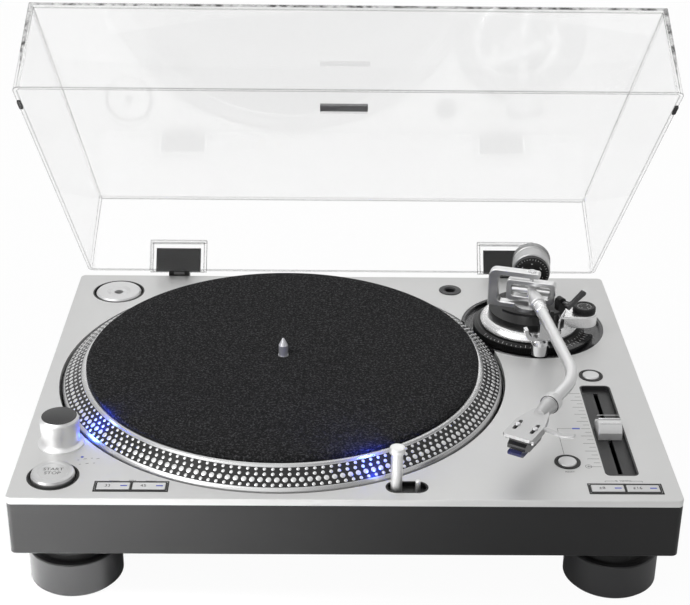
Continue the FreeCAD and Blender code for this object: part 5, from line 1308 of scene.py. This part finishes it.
@dataclass
class ArmBase:
    """Knurls, scales and screws round the arm's base."""

    ring_radius: float = 44.6
    ring_slope: float = math.atan2(1.6, 3.0)
    ring_marks: range = range(-150, 150, 5)
    ring_mark_level: float = 3.12
    ring_mark_longs: tuple[float, float] = (2.2, 1.3)
    knob: Place = (192.8, 69.3, 19.8)
    knob_radius: float = 9.0
    knob_face: float = 24.2
    knob_marks: int = 28
    mark_radius: float = 5.4
    figure: float = 1.7
    figure_radius: float = 3.4
    yoke_turn: float = -16.0
    yoke_reach: float = 19.5
    yoke_top: float = 49.3
    lock_ring: tuple[tuple[float, float], ...] = (
        (3.3, 0), (3.3, 0.5), (3.0, 0.75), (1.9, 0.75), (1.7, 0.55), (0, 0.55))
    lock_slot: tuple[float, ...] = (3.0, 0.5, 0.05)
    pit: tuple[tuple[float, float], ...] = ((0.42, 0), (0.42, 0.06), (0, 0.06))
    index_radius: float = 47.8
    index_level: float = 3.4
    index_longs: tuple[float, float] = (3.4, 2.0)

    def build(self) -> None:
        """Makes the details of the ring, the small knob, the yoke and the index."""
        self.height_ring()
        self.skate_knob()
        self.yoke_screws()
        self.index()

    def height_ring(self) -> None:
        """Makes the ring's knurl and its ticks."""
        knurl = Sketch()
        knurl.ridges(Axes.flat(DECK.at(*ARM_TURN)), self.ring_radius, -1.4, 2.6, 150, 0.16)
        knurl.place("height_ring_knurl", BLACK, "height_ring", "black_plastic")
        ticks = Sketch()
        slope, (main, minor) = self.ring_slope, self.ring_mark_longs
        for k, angle in enumerate(self.ring_marks):
            a = math.radians(angle)
            long = minor if k % 5 else main
            inward = 1.5 - (main - long) / 2
            place = DECK.around((*ARM_TURN, self.ring_mark_level + inward * math.tan(slope)),
                                self.ring_radius - inward, angle)
            out = Vector((math.cos(a) * math.cos(slope), math.sin(a) * math.cos(slope),
                          -math.sin(slope)))
            ticks.bar(Axes(place, out, Vector((-math.sin(a), math.cos(a), 0))), long, 0.35, 0.04)
        ticks.place("height_ring_ticks", WHITE_PRINT, "height_ring", "black_plastic")

    def skate_knob(self) -> None:
        """Makes the small knob's ridges, its marks and its figures."""
        knob = ("anti_skate_knob", "black_plastic")
        ridges = Sketch()
        ridges.ridges(Axes.flat(DECK.at(*self.knob)), self.knob_radius, 0.6, 4.1, 48, 0.2)
        ridges.place("anti_skate_ridges", BLACK, *knob)
        face = (*self.knob[:2], self.knob_face)
        count = self.knob_marks
        marks = Sketch()
        marks.fan(face, self.mark_radius,
                  [(k * 360 / count, 1.0 if k % 4 else 1.6) for k in range(count)])
        marks.place("anti_skate_marks", WHITE_PRINT, *knob)
        for k in range(4):
            angle = 90 * k + 45
            write(f"anti_skate_figure_{k}", str(k), self.figure,
                  Axes.flat(DECK.around(face, self.figure_radius, angle), angle - 90),
                  WHITE_PRINT, *knob)

    def yoke_screws(self) -> None:
        """Makes the lock ring and the slotted screw on the yoke, and its two side screws."""
        lock = Sketch()
        top = Axes.flat(DECK.at(*ARM_TURN, self.yoke_top), self.yoke_turn)
        lock.turned(top, self.lock_ring)
        for x in (-2.35, 2.35):
            lock.turned(top.moved(x, z=0.74), self.pit, 12)
        lock.bar(top.moved(z=self.lock_ring[-1][1]), *self.lock_slot)
        lock.place("yoke_lock_ring", POLISHED, "arm_base", "polished")
        screws = Sketch()
        for angle in (self.yoke_turn + 180, self.yoke_turn):
            a = math.radians(angle)
            place = DECK.around((*ARM_TURN, ARM_LEVEL), self.yoke_reach, angle)
            screws.screw(Axes.facing(place, Vector((math.cos(a), math.sin(a), 0))), 2.3, 0.45,
                         0.5)
        screws.place("gimbal_screws", STEEL, "gimbal", "polished")

    def index(self) -> None:
        """Makes the lines on the index block beside the ring."""
        lines = Sketch()
        lines.fan((*ARM_TURN, self.index_level), self.index_radius,
                  [(-62 + k * 4.6, self.index_longs[k % 2]) for k in range(9)])
        lines.place("index_lines", WHITE_PRINT, "plinth", "black_plastic")


@dataclass
class Tonearm:
    """Figures, knurls and screws on the arm's moving pieces."""

    stub_turn: float = 7.0
    dial_start: float = 30.0
    dial_ticks: int = 35
    dial_tick: tuple[float, float] = (13.0, 0.86)
    dial_figure: tuple[float, float] = (10.4, 0.24)
    dial_size: float = 3.0
    dial_texts: tuple[str, ...] = ("0", ".5", "1", "1.5", "2", "2.5", "3")
    weight_end: float = 60.8
    weight_radius: float = 15.6
    weight_knurl: tuple[float, ...] = (-8.2, -1.2, 96, 0.18)
    tube_turn: float = 5.9
    bend: float = 36.9
    first: float = 144.7
    second: float = 94.5
    sleeve_start: float = 27.6
    sleeve_form: tuple[tuple[float, float], ...] = (
        (4.6, 0), (5.0, 0.3), (5.0, 2.0), (4.7, 2.3), (4.7, 2.8), (5.0, 3.1), (5.0, 12.4),
        (4.45, 13.0))
    collar_knurl: tuple[float, ...] = (7.0, 48.4, 54.2, 40, 0.18)
    seal_form: tuple[tuple[float, float], ...] = (
        (6.4, 47.3), (6.9, 47.5), (6.9, 48.3), (6.4, 48.5))
    shell_top: float = 34.6
    shell_screw: tuple[float, float] = (6.35, 9.0)

    def build(self) -> None:
        """Makes the details from the counterweight to the headshell."""
        self.dial()
        self.weight()
        self.sleeve()
        self.collar()
        self.shell()

    def stub_axes(self, behind: float) -> Axes:
        """Gives axes that look back along the stub.

        Args:
            behind: How far behind the pivot they are.

        Returns:
            The axes.
        """
        turn = math.radians(self.stub_turn)
        back = Vector((math.sin(turn), math.cos(turn), 0))
        return Axes.facing(DECK.at(*ARM_TURN, ARM_LEVEL) + back * behind * MM, back)

    def dial(self) -> None:
        """Makes the ticks and figures on the dial's front."""
        axes = self.stub_axes(self.dial_start)
        front = UP.cross(axes.right)
        ticks = Sketch()
        reach, behind = self.dial_tick
        for k in range(self.dial_ticks):
            a = 2 * math.pi * k / self.dial_ticks
            out = axes.right * math.cos(a) + UP * math.sin(a)
            place = axes.place + (out * reach - front * behind) * MM
            ticks.bar(Axes(place, self.lean(out, front), front.cross(out)),
                      0.9 if k % 5 else 1.5, LINE, 0.06)
        ticks.place("dial_ticks", WHITE_PRINT, "weight_dial", "black_plastic")
        reach, behind = self.dial_figure
        for k, text in enumerate(self.dial_texts):
            a = math.radians(90 - k * 360 / len(self.dial_texts))
            out = UP * math.sin(a) - axes.right * math.cos(a)
            lean = self.lean(out, front)
            place = axes.place + (out * reach - front * behind) * MM
            write(f"dial_figure_{k}", text, self.dial_size,
                  Axes(place, lean.cross(front).normalized(), lean), WHITE_PRINT,
                  "weight_dial", "black_plastic", 0.06)

    @staticmethod
    def lean(out: Vector, front: Vector) -> Vector:
        """Returns the direction up the dial's cone, from its middle towards its rim."""
        return (out * 4.0 - front * 1.2).normalized()

    def weight(self) -> None:
        """Makes the rear knurl of the weight."""
        knurl = Sketch()
        knurl.ridges(self.stub_axes(self.weight_end), self.weight_radius, *self.weight_knurl)
        knurl.place("weight_knurl", DARK, "counterweight", "satin_silver")

    def shell_axes(self) -> Axes:
        """Gives axes that look back along the shell, above the stylus at the pivot's level.

        Returns:
            The axes.
        """
        t = math.radians(self.tube_turn)
        s = math.radians(self.tube_turn - self.bend)
        x = ARM_TURN[0] + self.first * math.sin(t) + self.second * math.sin(s)
        y = ARM_TURN[1] - self.first * math.cos(t) - self.second * math.cos(s)
        return Axes.facing(DECK.at(x, y, ARM_LEVEL), Vector((-math.sin(s), math.cos(s), 0)))

    def sleeve(self) -> None:
        """Makes the turned sleeve at the start of the tube."""
        t = math.radians(self.tube_turn)
        ahead = Vector((math.sin(t), -math.cos(t), 0))
        place = DECK.at(*ARM_TURN, ARM_LEVEL) + ahead * self.sleeve_start * MM
        sleeve = Sketch()
        sleeve.turned(Axes.facing(place, ahead), self.sleeve_form, 40)
        sleeve.place("tube_sleeve", BRIGHT, "tonearm", "satin_silver")

    def collar(self) -> None:
        """Makes the locking collar's ridges and the seal in front of them."""
        axes = self.shell_axes()
        ridges = Sketch()
        ridges.ridges(axes, *self.collar_knurl)
        ridges.place("collar_ridges", SATIN, "locking_collar", "satin_silver")
        seal = Sketch()
        seal.turned(axes, self.seal_form, 40)
        seal.place("collar_seal", DARK, "locking_collar", "satin_silver")

    def shell(self) -> None:
        """Makes the two screws that hold the cartridge."""
        axes = self.shell_axes()
        back = axes.right.cross(axes.up)
        screws = Sketch()
        side, behind = self.shell_screw
        for right in (side, -side):
            spot = axes.moved(right, self.shell_top - ARM_LEVEL, behind)
            screws.screw(Axes(spot.place, axes.right * -1, back), 2.0, 1.3, 0.45)
        screws.place("shell_screws", STEEL, "tonearm", "polished")


@dataclass
class Cover:
    """The bare plate on the cover's top panel."""

    middle: tuple[float, float] = (-1.2, -190.8)
    size: tuple[float, float] = (36.4, 13.2)

    def build(self) -> None:
        """Makes the plate."""
        a = math.radians(opening("cover_hinge"))
        back = Vector((0, math.cos(a), -math.sin(a)))
        hinge = DECK.at(self.middle[0], *COVER_HINGE)
        plate = Sketch()
        plate.bar(Axes(hinge, RIGHT, back).moved(y=self.middle[1], z=COVER_TOP), *self.size, 0.3,
                  0.12)
        plate.place("cover_plate", LABEL, "cover", "black_plastic")


@dataclass
class TargetLamp:
    """The lit window of the target lamp."""

    window: Place = (34.0, -155.7, 21.5)

    def build(self) -> None:
        """Makes the window's lens in the lamp's rear pocket."""
        lens = Sketch()
        lens.bar(Axes.facing(DECK.at(*self.window), BACK), 3.0, 4.2, 0.9, 0.2)
        lens.place("lamp_window", LIT_LAMP, "target_lamp", "blue_plastic")


@dataclass
class Hidden:
    """Screws and terminal letters on the faces that a front view hides."""

    base: float = -44.5
    bottom: tuple[tuple[float, float], ...] = (
        (-150, -150), (0, -150), (150, -150), (-150, 150), (0, 150), (150, 150), (-205, 0),
        (205, 0))
    panel: float = 173.0
    panel_screws: tuple[float, float] = (-101.0, 11.0)
    letters: tuple[tuple[str, float], ...] = (("L", -92.0), ("R", -74.0), ("GND", -57.0))

    def build(self) -> None:
        """Makes the bottom screws and the rear panel's screws and letters."""
        bottom = Sketch()
        for x, y in self.bottom:
            bottom.screw(Axes(DECK.at(x, y, self.base), RIGHT, BACK * -1), 3.4, 1.2)
        bottom.place("bottom_screws", STEEL, "plinth", "polished")
        screws = Sketch()
        for x in self.panel_screws:
            screws.screw(Axes.facing(DECK.at(x, self.panel, -24.75), BACK), 2.2, 0.8)
        screws.place("panel_screws", STEEL, "plinth", "polished")
        for text, x in self.letters:
            write(f"panel_{text.lower()}", text, 2.4,
                  Axes.facing(DECK.at(x, self.panel, -16.5), BACK), WHITE_PRINT, "plinth",
                  "black_plastic")


# ---------------------------------------------------------------- the studio

@dataclass(frozen=True)
class Lamp:
    """A square area lamp, in metres and watts."""

    name: str
    place: Place
    target: Place
    size: float
    power: float
    spread: float = 180.0
    mirrored: bool = False
    colour: Colour = WHITE

    def build(self) -> bpy.types.Object:
        """Makes the lamp, turned to its target.

        Returns:
            The lamp.
        """
        data = bpy.data.lights.new(self.name, "AREA")
        data.shape = "SQUARE"
        data.size = self.size
        data.energy = self.power
        data.color = self.colour
        data.spread = math.radians(self.spread)
        lamp = bpy.data.objects.new(self.name, data)
        lamp.visible_glossy = self.mirrored
        lamp.visible_camera = False
        aim = Vector(self.target) - Vector(self.place)
        lamp.matrix_world = (Matrix.Translation(self.place)
                             @ aim.to_track_quat("-Z", "Y").to_matrix().to_4x4())
        bpy.context.scene.collection.objects.link(lamp)
        return lamp


def blue_glow(name: str, place: Place, target: Place, size: float) -> Lamp:
    """Returns a small blue lamp, by its places and its size in millimetres on the deck."""
    return Lamp(name, DECK.at(*place), DECK.at(*target), size * MM, 0.011, 95, True,
                (0.02, 0.06, 1.0))


@dataclass
class Studio:
    """The pale floor, the plain soft light and the camera.

    The camera's place is in the deck's millimetres and its turns are in radians. What is behind
    and before the deck is given as strengths by side shares, from -1 at the left to 1.
    """

    place: Place = (-14.765, -1019.19, 557.71)
    down: float = 0.4542
    turn: float = 0.0148
    roll: float = 0.0132
    lens: float = 79.28
    soft: float = 0.42
    behind: tuple[tuple[float, float], ...] = (
        (-1.0, 0.75), (-0.6, 0.95), (-0.25, 1.16), (0.0, 1.12), (0.3, 1.08), (0.7, 0.84),
        (1.0, 0.5))
    before: tuple[tuple[float, float], ...] = (
        (-1.0, 0.5), (-0.75, 0.6), (-0.4, 1.4), (-0.1, 1.3), (0.15, 0.9), (0.5, 0.5),
        (0.8, 0.75), (1.0, 0.35))
    lamps: tuple[Lamp, ...] = (
        Lamp("key", (-1.5, -0.9, 1.7), (0, 0, 0.1), 1.5, 20.0, mirrored=True),
        Lamp("fill", (1.7, -0.9, 1.3), (0, 0, 0.1), 1.2, 5.0),
        Lamp("rear", (0.2, 1.6, 1.8), (0, 0.1, 0.1), 1.6, 10.0),
        Lamp("low", (-1.7, -1.5, 0.32), (-0.15, -0.2, 0.07), 0.9, 10.5, mirrored=True))
    wash: Lamp = Lamp("wash", (-0.42, -0.42, 0.62), (-0.36, -0.36, 0.0), 0.16, 4.0, 70)
    glows: tuple[Lamp, ...] = (
        blue_glow("strobe_glow", (-182.0, -92.0, 15.0), (-160.0, -80.0, 4.0), 5.0),
        blue_glow("lamp_glow", (29.0, -151.0, 24.0), (10.0, -130.0, 8.0), 4.0))

    def build(self) -> None:
        """Makes the camera, the world, the floor and the lamps, of which one lights only it."""
        self.camera()
        self.world()
        ground = self.floor()
        for lamp in self.lamps:
            lamp.build()
        self.wash.build().light_linking.receiver_collection = ground
        for lamp in self.glows:
            lamp.build()
        bpy.context.scene.view_settings.view_transform = "Standard"

    def camera(self) -> None:
        """Sets the camera where the photograph was taken from."""
        cp, sp = math.cos(self.down), math.sin(self.down)
        cy, sy = math.cos(self.turn), math.sin(self.turn)
        cr, sr = math.cos(self.roll), math.sin(self.roll)
        ahead = Vector((sy * cp, cy * cp, -sp))
        right = Vector((cy, -sy, 0))
        up = right.cross(ahead)
        data = bpy.data.cameras.new("camera")
        data.lens = self.lens
        data.sensor_width = 36.0
        data.sensor_fit = "HORIZONTAL"
        data.clip_end = 50.0
        camera = bpy.data.objects.new("camera", data)
        camera.matrix_world = posed(DECK.at(*self.place), right * cr + up * sr,
                                    up * cr - right * sr, ahead * -1)
        bpy.context.scene.collection.objects.link(camera)
        bpy.context.scene.camera = camera

    @staticmethod
    def ramp(w: Wiring, value: Socket, stops: tuple[tuple[float, float], ...]) -> Socket:
        """Adds a strength that follows a direction's side share.

        Args:
            w: The world's wiring.
            value: The side share.
            stops: Side shares with their strengths, from left to right.

        Returns:
            The strength.
        """
        curve = w.add("ShaderNodeFloatCurve")
        points = curve.mapping.curves[0].points
        while len(points) < len(stops):
            points.new(0.5, 0.5)
        for point, (side, strength) in zip(points, stops):
            point.location = ((side + 1) / 2, strength / 2)
        curve.mapping.update()
        w.feed(curve.inputs["Value"], w.math("MULTIPLY_ADD", value, 0.5, 0.5))
        return w.math("MULTIPLY", curve.outputs[0], 2.0)

    def world(self) -> None:
        """Makes the soft surroundings, white where they are seen and shaped where mirrored."""
        world = bpy.data.worlds.new("studio")
        world.use_nodes = True
        w = Wiring(world.node_tree)
        soft = w.tree.nodes["Background"]
        white, mirrored = (w.add("ShaderNodeBackground") for _ in range(2))
        w.feed(soft.inputs["Color"], WHITE)
        w.feed(soft.inputs["Strength"], self.soft)
        w.feed(white.inputs["Color"], WHITE)
        way = w.parts(w.coords("Generated"))
        blend = w.add("ShaderNodeMix")
        w.feed(blend.inputs["Factor"], w.ranged(way["Y"], (0.15, -0.25)))
        w.feed(blend.inputs["A"], self.ramp(w, way["X"], self.behind))
        w.feed(blend.inputs["B"], self.ramp(w, way["X"], self.before))
        w.feed(mirrored.inputs["Strength"], blend.outputs[0])
        path = w.add("ShaderNodeLightPath").outputs
        straight = w.math("LESS_THAN", path["Glossy Depth"], 0.5)
        through = w.math("MULTIPLY", path["Is Transmission Ray"], straight)
        direct = w.math("MAXIMUM", path["Is Camera Ray"], through)
        seen = soft.outputs[0]
        for mask, other in ((path["Is Glossy Ray"], mirrored), (direct, white)):
            both = w.add("ShaderNodeMixShader")
            w.feed(both.inputs[0], mask)
            w.feed(both.inputs[1], seen)
            w.feed(both.inputs[2], other.outputs[0])
            seen = both.outputs[0]
        w.feed(w.tree.nodes["World Output"].inputs["Surface"], seen)
        bpy.context.scene.world = world

    @staticmethod
    def floor() -> bpy.types.Collection:
        """Makes the pale floor, which keeps the deck's shadow.

        Returns:
            The collection that holds the floor, and nothing else.
        """
        mesh = bmesh.new()
        for x, y in ((-6, -6), (6, -6), (6, 6), (-6, 6)):
            mesh.verts.new((x, y, 0))
        mesh.faces.new(mesh.verts)
        data = bpy.data.meshes.new("floor")
        mesh.to_mesh(data)
        mesh.free()
        data.materials.append(FLOOR.material())
        floor = bpy.data.objects.new("floor", data)
        ground = bpy.data.collections.new("ground")
        bpy.context.scene.collection.children.link(ground)
        ground.objects.link(floor)
        return ground


def main() -> None:
    """Builds the scene's pieces in order."""
    logging.basicConfig(level=logging.INFO, format="%(message)s")
    for part in (Studio(), Dressing(), Platter(), PlatePrint(), Keys(), PowerKnob(), ArmBase(),
                 Tonearm(), Cover(), TargetLamp(), Hidden()):
        part.build()
        log.info("%s done", type(part).__name__)
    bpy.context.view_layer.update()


if __name__ == "__main__":
    main()
